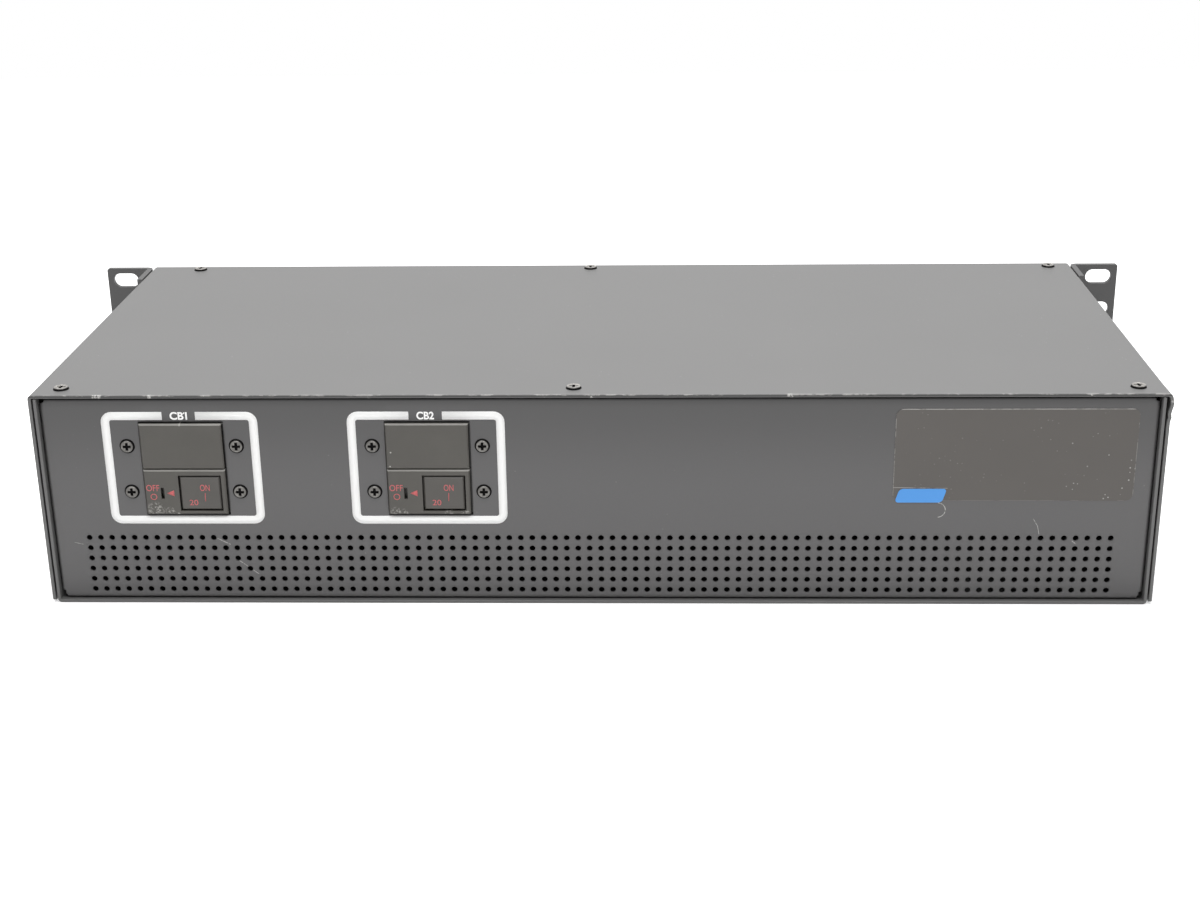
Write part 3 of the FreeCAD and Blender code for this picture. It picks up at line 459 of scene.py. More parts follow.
def paint_finish(name, colour, bare, lines=(), arcs=(), cover=None, chips=(), light_bands=(), face=None):
    """Satin powder coat: fine orange peel, cloudy tone, dust specks, thin scratches and edge chips.

    Each band shifts the tone between two heights, as painted shade where it darkens and painted highlight
    where it lightens.
    The cover's front and top give its cut edge: dark across its middle, chipped and worn at its corner.
    Behind the face, cut edges and flanges are painted dark as shade in the holes and gaps."""
    shader = new_shader(name)
    spot = shader.object_place()
    across, deep, up = shader.axes(spot)
    peel = shader.noise(spot, 1500.0, 2.0)
    fine = shader.noise(spot, 5200.0, 1.0)
    cloud = shader.noise(spot, 11.0, 4.0, 0.6)
    patch = shader.noise(spot, 60.0, 3.0, 0.6)
    base = shader.mix(cloud * 0.6 + peel * 0.4, shade(colour, 0.86), shade(colour, 1.14))
    dust = shader.specks(spot, 330.0, 0.13) * shader.ramp(patch, 0.56, 0.7)
    base = shader.mix(dust * 0.35, base, shade(colour, 3.2))
    # Painted shade and painted highlight in bands by height
    for first, last, level in light_bands:
        base = shader.mix(shader.ramp(up, first, last), base, shade(colour, level))
    # Painted shade: cut edges and flanges behind the face turn dark
    if face is not None:
        base = shader.mix(shader.ramp(deep - face, 0.0004, 0.0010), base, shade(colour, 0.12))
    grain = shader.ramp(peel, 0.3, 0.55)
    masks = [line_mask(shader, across, up, *line) * grain for line in lines]
    masks += [arc_mask(shader, across, up, *arc) * grain for arc in arcs]
    if cover is not None:
        front, top = cover
        below = top - up
        cut = shader.ramp(deep - front, 0.0004, 0.00015) * (up > CHIP_LEVEL)
        cut = cut * shader.ramp(below, 0.0011, 0.0009) * shader.ramp(below, 0.0002, 0.0005)
        base = shader.mix(cut, base, shade(colour, 0.25))
        rim = shader.ramp(abs(deep - front), 0.0011, 0.0003)
        ragged = shader.noise(shader.stretched(spot, (1.0, 2.2, 2.2)), 170.0, 3.0, 0.7)
        flakes = shader.ramp(ragged, 0.66, 0.72)
        for middle, half in chips:
            chip = shader.ramp(abs(across - middle) + ragged * half, half * 1.7, half * 1.1)
            flakes = flakes.most(chip * shader.ramp(peel, 0.4, 0.5))
        masks.append(rim * flakes * (up > CHIP_LEVEL))
        corner = shader.ramp(deep - front + below, 0.0007, 0.0003)
        masks.append(corner * shader.ramp(ragged, 0.5, 0.62) * 0.5)
    wear = strongest(masks)
    base = shader.mix(wear * 0.85, base, bare)
    roughness = peel * 0.10 + cloud * 0.08 + 0.36 + wear * 0.1
    height = peel * 0.7 + fine * 0.3 - wear * 0.6
    return shader.surface({
        "Base Color": base, "Roughness": roughness, "Specular IOR Level": 0.6,
        "Normal": shader.bump(height, 0.32, 0.00007)})


def moulded_finish(name, colour, roughness, scuffs=(), nicks=(), bevel=None, face=None):
    """Moulded plastic: fine spark texture, soft mottling, pale scuffs, bright nicks and a painted highlight
    along the upper bevel.

    Behind the face the sides are painted dark as shade."""
    shader = new_shader(name)
    spot = shader.object_place()
    across, deep, up = shader.axes(spot)
    spark = shader.noise(spot, 2600.0, 2.0)
    cloud = shader.noise(spot, 90.0, 3.0, 0.55)
    base = shader.mix(cloud, shade(colour, 0.86), shade(colour, 1.14))
    # Painted shade on the sides behind the face
    if face is not None:
        base = shader.mix(shader.ramp(deep - face, 0.0007, 0.0012), base, shade(colour, 0.12))
    masks = [spot_mask(shader, across, up, *nick) for nick in nicks]
    if scuffs:
        rub = shader.ramp(shader.noise(spot, 1100.0, 3.0, 0.7), 0.48, 0.6) * 0.6
        masks += [spot_mask(shader, across, up, *scuff) * rub for scuff in scuffs]
    # Painted highlight: a pale line along the upper bevel, joined with the scuffs and nicks
    if bevel is not None:
        masks.append(shader.ramp(abs(up - bevel), 0.00036, 0.00022) * (cloud * 0.5 + 0.3))
    wear_and_highlight = strongest(masks)
    base = shader.mix(wear_and_highlight, base, PALE_WEAR_AND_HIGHLIGHT)
    return shader.surface({
        "Base Color": base, "Roughness": spark * 0.12 + roughness + wear_and_highlight * 0.2,
        "Normal": shader.bump(spark, 0.22, 0.00005)})


def metal_finish(name, colour, roughness, tarnish=0.25):
    """Plated metal: fine drawn grain and a cloudy tarnish."""
    shader = new_shader(name)
    spot = shader.object_place()
    grain = shader.noise(shader.stretched(spot, (1.0, 1.0, 9.0)), 900.0, 2.0)
    cloud = shader.noise(spot, 140.0, 3.0, 0.6)
    base = shader.mix(cloud * tarnish + grain * 0.2, colour, shade(colour, 0.55))
    return shader.surface({
        "Base Color": base, "Metallic": 1.0, "Roughness": grain * 0.15 + cloud * 0.1 + roughness,
        "Normal": shader.bump(grain, 0.15, 0.00004)})


def screw_finish(name, colour, depth):
    """Blackened steel, worn bright on the face, with painted shade turning it black where it lies deeper:
    recess and sloped rim.
    """
    shader = new_shader(name)
    spot = shader.object_place()
    grain = shader.noise(spot, 1900.0, 3.0)
    rub = shader.ramp(shader.noise(spot, 800.0, 3.0, 0.6), 0.45, 0.66)
    base = shader.mix(rub * 0.5, colour, shade(colour, 2.0))
    # Painted shade: near black in the recess and on the sloped rim
    dark = shader.ramp(depth(*shader.axes(spot)), 0.00012, 0.0003)
    base = shader.mix(dark, base, RECESS_SHADE)
    return shader.surface({
        "Base Color": base, "Metallic": dark * 0.4 + 0.6, "Roughness": grain * 0.2 + 0.3 + dark * 0.2,
        "Normal": shader.bump(grain, 0.2, 0.00005)})


def ink_finish(name, colour, worn, gloss=0.5):
    """Screen-printed ink with fine pinholes."""
    shader = new_shader(name)
    spot = shader.object_place()
    grain = shader.noise(spot, 3200.0, 3.0, 0.6)
    pits = shader.ramp(grain, 0.64, 0.78) * worn
    base = shader.mix(pits, colour, shade(colour, 0.45))
    return shader.surface({
        "Base Color": base, "Roughness": grain * 0.15 + 0.42, "Specular IOR Level": gloss,
        "Normal": shader.bump(grain, 0.1, 0.00003)})


def film_finish(name, colour, labels):
    """Satin film label: brownish tone, small bubbles and specks towards the right, pale lifted edges and a
    painted highlight along the sticker's upper edge.
    """
    shader = new_shader(name)
    spot = shader.object_place()
    across, up = shader.axes(spot)[::2]
    grain = shader.noise(spot, 2400.0, 2.0)
    cloud = shader.noise(spot, 26.0, 3.0, 0.6)
    base = shader.mix(cloud, shade(colour, 0.88), shade(colour, 1.12))
    middle = (labels.film_left + labels.film_right) / 2
    right = shader.ramp(across, middle, labels.film_right)
    dots = shader.specks(spot, 420.0, 0.16) * shader.ramp(shader.noise(spot, 110.0, 2.0), 0.5, 0.66)
    base = shader.mix(dots * (right * 0.7 + 0.15), base, PALE_BUBBLE)
    ragged = shader.noise(shader.stretched(spot, (1.0, 1.0, 1.6)), 150.0, 3.0, 0.7)
    broken = shader.ramp(ragged, 0.42, 0.56)
    rims = (
        (across, labels.film_left, broken * 0.3), (across, labels.film_right, broken * 0.22),
        (up, labels.film_low, broken * 0.1), (up, labels.film_high, broken * 0.3 + 0.3))
    masks = [shader.ramp(abs(value - edge), *RIM_FADE) * strength for value, edge, strength in rims]
    # Painted highlight: a pale line along the sticker's upper edge
    start = (labels.film_left, labels.sticker_high + STICKER_HIGHLIGHT_RISES[0])
    end = (labels.sticker_right + STICKER_HIGHLIGHT_RUN, labels.sticker_high + STICKER_HIGHLIGHT_RISES[1])
    masks.append(line_mask(shader, across, up, start, end, STICKER_HIGHLIGHT_WIDTH) * broken * 0.4)
    base = shader.mix(strongest(masks), base, PALE_RIM_AND_HIGHLIGHT)
    return shader.surface({
        "Base Color": base, "Roughness": grain * 0.1 + cloud * 0.06 + 0.3,
        "Normal": shader.bump(grain + dots * 0.6, 0.16, 0.00005)})


def breaker_wear():
    """Scuffs of the guards, nicks of the guards and nicks of the blank poles: centres and radii."""
    boxes = {number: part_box("breaker_%d_guard" % number) for number in PAIR}
    scuffs = []
    for number, (low, high) in boxes.items():
        for across, up, radius in GUARD_SCUFFS[number]:
            edge = low.x if across > 0.0 else high.x
            scuffs.append(((edge + across, low.z + up), radius))
    low, high = boxes[1]
    middle = (low.x + high.x) / 2
    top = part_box("breaker_1_upper_pole")[1].z
    guard_nicks = [((middle - GUARD_NICK_LEFT, low.z + BEVEL_DROP), NICK_RADIUS)]
    pole_nicks = [((middle, top - BEVEL_DROP), NICK_RADIUS)]
    left = boxes[2][0].x
    pole_nicks += [((left + across, top - down), SPECK_RADIUS) for across, down in POLE_SPECKS]
    return scuffs, guard_nicks, pole_nicks


def panel_tones(low, high):
    """Painted shade and highlight of the front panel by height, with those at its fold and its seam set on
    its box.
    """
    placed = [(height + start, height + whole, level)
              for height, (start, whole, level) in ((low.z, FOLD_HIGHLIGHT), (high.z, SEAM_SHADE))]
    return list(PANEL_SHADE_TONES) + placed


def finishes():
    """What makes each material of the unit, by the material's name."""
    tone = bpy.context.scene.unit_finish
    labels = bpy.context.scene.unit_labels
    cover = (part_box("top_cover")[0].y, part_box("top_cover")[1].z)
    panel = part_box("front_panel")
    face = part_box("breaker_2_guard")[0].y
    # Heights of the painted highlights along the upper bevels
    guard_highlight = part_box("breaker_2_guard")[1].z - BEVEL_DROP
    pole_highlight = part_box("breaker_1_upper_pole")[1].z - BEVEL_DROP
    scuffs, guard_nicks, pole_nicks = breaker_wear()
    breaker_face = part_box("breaker_screws")[0].y
    cover_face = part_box("cover_screws")[1].z
    ear_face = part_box("ear_screws")[1].x
    return {
        "cover_paint": lambda n: paint_finish(n, tone.paint, tone.bare_steel, cover=cover, chips=EDGE_CHIPS),
        "panel_paint": lambda n: paint_finish(
            n, tone.panel, tone.bare_steel, SCRATCHES, CURLS, light_bands=panel_tones(*panel), face=panel[0].y),
        "ear_paint": lambda n: paint_finish(n, tone.ear_paint, tone.bare_steel),
        "breaker_plastic": lambda n: moulded_finish(
            n, tone.breaker, 0.42, (), pole_nicks, pole_highlight, face),
        "guard_plastic": lambda n: moulded_finish(
            n, tone.breaker, 0.42, scuffs, guard_nicks, guard_highlight, face),
        "rocker_plastic": lambda n: moulded_finish(n, tone.rocker, 0.38),
        "outlet_plastic": lambda n: moulded_finish(n, tone.outlet, 0.36),
        "gland_plastic": lambda n: moulded_finish(n, tone.gland, 0.44),
        "seal_rubber": lambda n: moulded_finish(n, tone.rubber, 0.62),
        "block_plastic": lambda n: moulded_finish(n, tone.block, 0.45),
        "breaker_screw": lambda n: screw_finish(n, tone.screw, lambda x, y, z: y - breaker_face),
        # Painted light: the upward cover screws take twice the screw colour, as lit from above
        "cover_screw": lambda n: screw_finish(
            n, shade(tone.screw, 2.0), lambda x, y, z: cover_face - z),
        "ear_screw": lambda n: screw_finish(n, tone.screw, lambda x, y, z: ear_face - abs(x)),
        "dark_steel": lambda n: metal_finish(n, tone.screw, 0.42),
        "zinc_steel": lambda n: metal_finish(n, tone.zinc, 0.28),
        "tinned_copper": lambda n: metal_finish(n, tone.copper, 0.26),
        "brass_strip": lambda n: metal_finish(n, tone.brass, 0.3),
        "white_ink": lambda n: ink_finish(n, tone.white_ink, 0.02, 1.0),
        "red_ink": lambda n: ink_finish(n, tone.red_ink, 0.3),
        "film": lambda n: film_finish(n, tone.film, labels),
        "sticker": lambda n: ink_finish(n, tone.sticker, 0.08),
    }


def finish(name):
    """Material by name, made on its first use."""
    found = bpy.data.materials.get("unit_" + name)
    return found or finishes()[name]("unit_" + name)


def quads_of(rows, columns, keep=None):
    """Quads of a grid of points, facing along its row direction crossed with its column direction."""
    index = np.arange(rows * columns).reshape(rows, columns)
    quads = np.stack([index[:-1, :-1], index[1:, :-1], index[1:, 1:], index[:-1, 1:]], axis=-1)
    return quads.reshape(-1, 4) if keep is None else quads[keep]


def surface(points, keep=None):
    """Surface of a grid of points (rows, columns, 3)."""
    return points.reshape(-1, 3), quads_of(points.shape[0], points.shape[1], keep)


def copies(points, offsets):
    """The same grid surface set at several offsets."""
    rows, columns = points.shape[:2]
    every = offsets[:, None, :] + points.reshape(1, -1, 3)
    steps = np.arange(len(offsets))[:, None, None] * (rows * columns)
    return every.reshape(-1, 3), (quads_of(rows, columns)[None] + steps).reshape(-1, 4)


def xyz(x, y, z):
    """Grid of points from three arrays or numbers that spread over each other."""
    return np.stack(np.broadcast_arrays(x, y, z), axis=-1).astype(float)


def weld(mesh):
    """Merge the points where surfaces meet."""
    work = bmesh.new()
    work.from_mesh(mesh)
    bmesh.ops.remove_doubles(work, verts=work.verts, dist=WELD)
    work.to_mesh(mesh)
    work.free()


def settle(name, mesh, material, body, replaces, crease, sheet, edge, segments):
    """Object of a finished mesh: its finish, shading, modifiers, body and the nodes it stands for."""
    mesh.materials.clear()
    mesh.materials.append(finish(material))
    mesh.shade_smooth()
    mesh.set_sharp_from_angle(angle=math.radians(crease))
    piece = bpy.data.objects.new(name, mesh)
    bpy.context.scene.collection.objects.link(piece)
    if sheet:
        wall = piece.modifiers.new("Sheet", "SOLIDIFY")
        wall.thickness = sheet
        wall.offset = -1.0
        wall.use_even_offset = True
    if edge:
        rounding = piece.modifiers.new("Edge", "BEVEL")
        rounding.width = edge
        rounding.segments = segments
        rounding.limit_method = "ANGLE"
        rounding.angle_limit = math.radians(crease)
        rounding.harden_normals = False
    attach(piece, body)
    if replaces:
        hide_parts(*replaces)
    return piece


def add_piece(name, surfaces, material, body="chassis", replaces=(), crease=35.0, sheet=0.0,
              edge=0.0, segments=2):
    """Piece of several numpy surfaces, welded into one mesh without unused points."""
    starts = np.cumsum([0] + [len(points) for points, quads in surfaces[:-1]])
    points = np.concatenate([points for points, quads in surfaces])
    quads = np.concatenate([quads + start for (spare, quads), start in zip(surfaces, starts)])
    used, index = np.unique(quads, return_inverse=True)
    mesh = bpy.data.meshes.new(name)
    mesh.from_pydata(points[used].tolist(), [], index.reshape(-1, 4).tolist())
    weld(mesh)
    return settle(name, mesh, material, body, replaces, crease, sheet, edge, segments)


def points_of(mesh):
    """Points of a mesh as an array of rows."""
    points = np.empty(len(mesh.vertices) * 3)
    mesh.vertices.foreach_get("co", points)
    return points.reshape(-1, 3)


def soften(name, node, material, edge, body="chassis", crease=25.0, segments=2, move=np.array):
    """Copy of a CAD node with merged points, flat faces joined and its edges rounded.

    Move takes the array of its points and returns where they go."""
    work = bmesh.new()
    work.from_mesh(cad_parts[node].data)
    bmesh.ops.remove_doubles(work, verts=work.verts, dist=WELD)
    bmesh.ops.dissolve_limit(work, angle_limit=FLAT_ANGLE, verts=work.verts, edges=work.edges)
    joined = bpy.data.meshes.new(name + "_joined")
    work.to_mesh(joined)
    work.free()
    mesh = bpy.data.meshes.new(name)
    faces = [tuple(face.vertices) for face in joined.polygons]
    mesh.from_pydata(move(points_of(joined)).tolist(), [], faces)
    bpy.data.meshes.remove(joined)
    return settle(name, mesh, material, body, (node,), crease, 0.0, edge, segments)


def dress(node, material):
    """Give a CAD node that keeps its own mesh a detailed finish."""
    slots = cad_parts[node].data.materials
    slots.clear()
    slots.append(finish(material))


def fold_path(radius, depth):
    """Section of a fold from a plate's edge: a quarter arc outwards and back, then a straight flange."""
    angle = np.linspace(0.0, np.pi / 2, FOLD_STEPS + 1)
    out = np.append(radius * np.sin(angle), radius)
    back = np.append(radius * (1.0 - np.cos(angle)), depth)
    return out, back


def spread(first, last, count):
    return np.linspace(first, last, count + 1)


def cover_surface(size, low, high):
    """Skin of the cover: a U section carried from front to rear.

    Side points climb from the rounded lower edge to the fold, whose arc has the bend radius.
    The right side is pushed out by (flare * exp(-(height / spread)^2) + the same of the knock)
    * exp(-(depth / reach)^2)."""
    bend = size.bend
    rise = 1.0 - spread(1.0, 0.0, SIDE_STEPS) ** 1.6
    arc = np.linspace(0.0, np.pi / 2, FOLD_STEPS + 1)
    top_x = spread(low.x + bend, high.x - bend, TOP_STEPS)[1:-1]
    ends = np.array([0.0, 0.1, 0.25, 0.45, 0.7, 1.0]) * size.cover_corner
    middle = np.concatenate([low.y + spread(0.004, 0.02, 8), spread(low.y + 0.025, high.y - 0.004, 30)])
    deep = np.concatenate([low.y + ends, middle, (high.y - ends)[::-1]])
    inset = np.minimum(np.minimum(deep - low.y, high.y - deep), size.cover_corner)
    lift = size.cover_corner - np.sqrt(size.cover_corner ** 2 - (size.cover_corner - inset) ** 2)
    foot = low.z + lift
    fold_z = high.z - bend
    side_z = foot[None, :] + rise[:, None] * (fold_z - foot)[None, :]
    left = xyz(low.x, deep[None, :], side_z)
    left_fold = xyz((low.x + bend - bend * np.cos(arc))[:, None], deep[None, :],
                    (fold_z + bend * np.sin(arc))[:, None])
    top = xyz(top_x[:, None], deep[None, :], high.z)
    mirror = np.array([-1.0, 1.0, 1.0])
    whole = np.concatenate([left[:-1], left_fold, top, left_fold[::-1] * mirror, left[:-1][::-1] * mirror])
    drop = high.z - whole[..., 2]
    flare = size.flare * np.exp(-((drop - size.flare_drop) / size.flare_spread) ** 2)
    knock = size.knock * np.exp(-((drop - size.knock_drop) / size.knock_spread) ** 2)
    reach = (whole[..., 1] - low.y) / size.flare_reach
    side = whole[..., 0] > high.x - bend * 0.7
    whole[..., 0] += (flare + knock) * np.exp(-reach ** 2) * side
    return surface(whole)


def tray_surface(size, low, high):
    """Skin of the tray: the right side down, the bottom across and the left side up, front to rear."""
    bend = size.bend
    arc = np.linspace(0.0, np.pi / 2, FOLD_STEPS + 1)
    deep = spread(low.y, high.y, 24)
    fall = spread(high.z, low.z + bend, 16)[:-1]
    right_x = np.concatenate([np.full(len(fall), high.x), high.x - bend + bend * np.cos(arc)])
    right_z = np.concatenate([fall, low.z + bend - bend * np.sin(arc)])
    floor_x = spread(high.x - bend, low.x + bend, 40)[1:-1]
    path_x = np.concatenate([right_x, floor_x, -right_x[::-1]])
    path_z = np.concatenate([right_z, np.full(len(floor_x), low.z), right_z[::-1]])
    return surface(xyz(path_x[:, None], deep[None, :], path_z[:, None]))


def vent_lines(centres, pitch):
    """Grid lines through a row of vent cells: each cell's edges and the two points between them."""
    half = pitch / 2
    inner = half * math.tan(math.pi / VENT_SIDES)
    lines = centres[:, None] + np.array([-half, -inner, inner])
    return np.append(lines.ravel(), centres[-1] + half)


def vent_surface(vents, columns, rows, y):
    """Vent cells: quads between a twelve-sided hole and the square rim of its cell.

    Point k lies at the angle (k + 1/2) * 30 degrees, so the rim's corners are points too."""
    angle = (np.arange(VENT_SIDES + 1) + 0.5) * 2 * np.pi / VENT_SIDES
    ray = np.stack([np.cos(angle), np.sin(angle)], axis=-1)
    rim = ray / np.abs(ray).max(axis=-1, keepdims=True) * np.array([vents.pitch_x, vents.pitch_z]) / 2
    rings = np.stack([ray * vents.width / 2, rim])
    cell = xyz(rings[..., 0], 0.0, rings[..., 1])
    across, up = np.meshgrid(columns, rows)
    return copies(cell, xyz(across.ravel(), y, up.ravel()))


def snapped(lines, edges):
    """Grid lines with the one nearest to each edge moved onto it."""
    moved = lines.copy()
    nearest = np.abs(lines[:, None] - np.array(edges)[None, :]).argmin(axis=0)
    moved[nearest] = edges
    return moved


def front_panel_surfaces(size, vents, breakers, low, high):
    """Skin of the front panel: a grid with open breaker cut-outs, the vent cells and four folded flanges."""
    columns = vents.shift + (np.arange(vents.columns) - (vents.columns - 1) / 2) * vents.pitch_x
    rows = vents.first_row + np.arange(vents.rows) * vents.pitch_z
    field_x = vent_lines(columns, vents.pitch_x)
    field_z = vent_lines(rows, vents.pitch_z)
    bend = field_z[0] - low.z
    plate = high.x - bend
    relief = high.x - size.relief
    lines_x = np.concatenate([
        [-plate], spread(-relief, field_x[0], 3)[:-1], field_x, spread(field_x[-1], relief, 3)[1:], [plate]])
    cuts = [cutout(breakers, number) for number in PAIR]
    shifted = snapped(lines_x, [edge for left, right, bottom, top in cuts for edge in (left, right)])
    bottom, top = cuts[0][2:]
    upper_z = np.concatenate([
        [field_z[-1] + vents.pitch_z], spread(bottom, top, 8), [high.z - size.relief, high.z - bend]])
    lines_z = np.concatenate([field_z, upper_z])
    in_field = lines_z <= field_z[-1] + WELD
    grid_x = np.where(in_field[None, :], lines_x[:, None], shifted[:, None])
    plate_points = xyz(grid_x, low.y, lines_z[None, :])
    middle_x = (plate_points[:-1, :-1, 0] + plate_points[1:, 1:, 0]) / 2
    middle_z = (lines_z[:-1] + lines_z[1:])[None, :] / 2
    open_cells = (middle_x > field_x[0]) & (middle_x < field_x[-1]) & (middle_z < field_z[-1])
    for left, right, low_edge, high_edge in cuts:
        open_cells |= (middle_x > left) & (middle_x < right) & (middle_z > low_edge) & (middle_z < high_edge)
    out, back = fold_path(bend, high.y - low.y)
    side_z = lines_z[(lines_z > field_z[0] + WELD) & (lines_z < high.z - bend - WELD)]
    flange_x = np.abs(lines_x) < relief + WELD
    lower_x = lines_x[flange_x]
    upper_x = shifted[flange_x]
    left_side = xyz((-plate - out[::-1])[:, None], (low.y + back[::-1])[:, None], side_z[None, :])
    right_side = xyz((plate + out)[:, None], (low.y + back)[:, None], side_z[None, :])
    below = xyz(lower_x[:, None], (low.y + back[::-1])[None, :], (low.z + bend - out[::-1])[None, :])
    above = xyz(upper_x[:, None], (low.y + back)[None, :], (high.z - bend + out)[None, :])
    return [
        surface(plate_points, ~open_cells), vent_surface(vents, columns, rows, low.y),
        surface(left_side), surface(right_side), surface(below), surface(above)]


def cutout(breakers, number):
    """Left, right, lower and upper edge of a breaker's cut-out."""
    low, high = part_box("breaker_%d_guard" % number)
    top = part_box("breaker_%d_upper_pole" % number)[1].z
    return (low.x - breakers.gap_left, high.x + breakers.gap_right, low.z - breakers.gap_low,
            top + breakers.gap_high)


def screw_head(radius, height, recess, arm=0.15, reach=0.56, flat=0.84):
    """Screw head about +Z: a flat face out to a share of the radius, a rim that slopes down, a cross recess.

    The recess is deep where the nearer axis is within the arm and the farther one within the reach."""
    ring = np.concatenate([spread(0.0, flat, 26), spread(flat, 1.0, 4)[1:]])[:, None]
    angle = np.linspace(0.0, 2 * np.pi, 65)[None, :]
    u = ring * np.cos(angle)
    v = ring * np.sin(angle)
    near = np.minimum(np.abs(u), np.abs(v))
    far = np.maximum(np.abs(u), np.abs(v))
    slot = np.clip((arm - near) / 0.05 + 0.5, 0.0, 1.0) * np.clip((reach - far) / 0.12 + 0.5, 0.0, 1.0)
    dome = height * np.clip((1.0 - ring) / (1.0 - flat), 0.0, 1.0)
    return xyz(u * radius, v * radius, dome - recess * slot)


def screw_set(name, heads, places, facing, material, node):
    """Like screws as one piece: heads turned to face outwards at each place."""
    turned = {"-y": heads[..., [0, 2, 1]] * (1, -1, 1), "z": heads,
              "x": heads[..., [2, 0, 1]], "-x": heads[..., [2, 1, 0]] * (-1, 1, 1)}
    parts = [copies(turned[side], np.array(points)) for side, points in zip(facing, places)]
    return add_piece(name, parts, material, replaces=(node,), crease=40.0)


def rounded_loop(x0, x1, z0, z1, radius, steps=6):
    """Closed loop round a rectangle, anticlockwise from its lower right corner's arc: corner arcs only."""
    arc = np.linspace(-np.pi / 2, 0.0, steps + 1)
    angle = (arc[None, :] + np.arange(4)[:, None] * np.pi / 2)
    centre_x = np.array([x1 - radius, x1 - radius, x0 + radius, x0 + radius])[:, None]
    centre_z = np.array([z0 + radius, z1 - radius, z1 - radius, z0 + radius])[:, None]
    return (centre_x + radius * np.cos(angle)).ravel(), (centre_z + radius * np.sin(angle)).ravel()


def film_plate(x0, x1, z0, z1, radius, back, thick, slant=0.0):
    """Thin rounded plate on the front: rings that shrink to its middle, and a wall down to the panel."""
    loop_x, loop_z = rounded_loop(x0, x1, z0, z1, radius)
    loop_x = loop_x + slant * (loop_z - z0) / (z1 - z0)
    loop_x = np.append(loop_x, loop_x[0])
    loop_z = np.append(loop_z, loop_z[0])
    middle = ((x0 + x1 + slant) / 2, (z0 + z1) / 2)
    scale = np.array([0.0, 0.5, 0.9, 1.0, 1.0])[:, None]
    depth = np.array([1.0, 1.0, 1.0, 1.0, 0.0])[:, None]
    bulge = back - thick * depth
    return xyz(middle[0] + scale * (loop_x - middle[0])[None, :], bulge,
               middle[1] + scale * (loop_z - middle[1])[None, :])


def frame_ribbon(ink, line, centre, face):
    """Printed frame: a ribbon between two rounded loops, broken at the middle of its top line."""
    half = line.half_width
    outer = rounded_loop(centre - half, centre + half, line.low, line.high, line.outer_radius)
    inset = line.line
    inner = rounded_loop(centre - half + inset, centre + half - inset, line.low + inset, line.high - inset,
                         line.inner_radius)
    count = len(outer[0]) // 2
    order = np.roll(np.arange(2 * count), -count)
    ends = (centre - line.gap / 2, centre + line.gap / 2)
    loops = []
    for loop, level in ((inner, line.high - inset), (outer, line.high)):
        across = np.concatenate([[ends[0]], loop[0][order], [ends[1]]])
        up = np.concatenate([[level], loop[1][order], [level]])
        loops.append(xyz(across, face, up))
    front = np.stack(loops) - np.array([0.0, ink, 0.0])
    return surface(front)


def ring_mark(centre, radius, line, face, ink):
    """Printed ring: a flat annulus on the front."""
    angle = np.linspace(0.0, 2 * np.pi, 33)
    size = np.array([radius - line, radius])[:, None]
    return surface(xyz(centre[0] + size * np.cos(angle), face - ink, centre[1] + size * np.sin(angle)))


def corner_mark(points, face, ink):
    """Printed shape with four corners: lower left, lower right, upper right and upper left."""
    low_left, low_right, high_right, high_left = points
    corners = np.array([[low_left, high_left], [low_right, high_right]], float)
    return surface(xyz(corners[..., 0], face - ink, corners[..., 1]))


def lettering(name, text, centre, width, height, face, ink, material, body, weight=0.0):
    """Text made a mesh, fitted to a box on the front and raised by the ink."""
    curve = bpy.data.curves.new(name, "FONT")
    curve.body = text
    curve.offset = weight
    curve.extrude = 0.01
    source = bpy.data.objects.new(name, curve)
    bpy.context.scene.collection.objects.link(source)
    bpy.context.view_layer.update()
    mesh = bpy.data.meshes.new_from_object(source.evaluated_get(bpy.context.evaluated_depsgraph_get()))
    bpy.data.objects.remove(source)
    points = points_of(mesh)
    spot = (points - points.min(axis=0)) / np.ptp(points, axis=0)
    placed = xyz(centre[0] + (spot[:, 0] - 0.5) * width, face - spot[:, 2] * ink,
                 centre[1] + (spot[:, 1] - 0.5) * height)
    mesh.vertices.foreach_set("co", placed.ravel())
    mesh.update()
    return settle(name, mesh, material, body, (), 35.0, 0.0, 0.0, 1)


class BuildStep:
    """What the building operators share."""

    bl_options = {"REGISTER", "UNDO"}


class UNIT_OT_cover(BuildStep, bpy.types.Operator):
    """Folded top cover with its bent front corner"""

    bl_idname = "unit.cover"
    bl_label = "Cover"

    def execute(self, context):
        size = context.scene.unit_chassis
        low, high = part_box("top_cover")
        skin = cover_surface(size, low + Vector((0.0, size.flare_room, 0.0)), high)
        add_piece("cover_sheet", [skin], "cover_paint", replaces=("top_cover",),
                  sheet=size.sheet, edge=size.edge)
        return {"FINISHED"}


class UNIT_OT_tray(BuildStep, bpy.types.Operator):
    """Folded base tray"""

    bl_idname = "unit.tray"
    bl_label = "Tray"

    def execute(self, context):
        size = context.scene.unit_chassis
        skin = tray_surface(size, *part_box("base_tray"))
        add_piece("tray_sheet", [skin], "cover_paint", replaces=("base_tray",),
                  sheet=size.sheet, edge=size.edge)
        return {"FINISHED"}


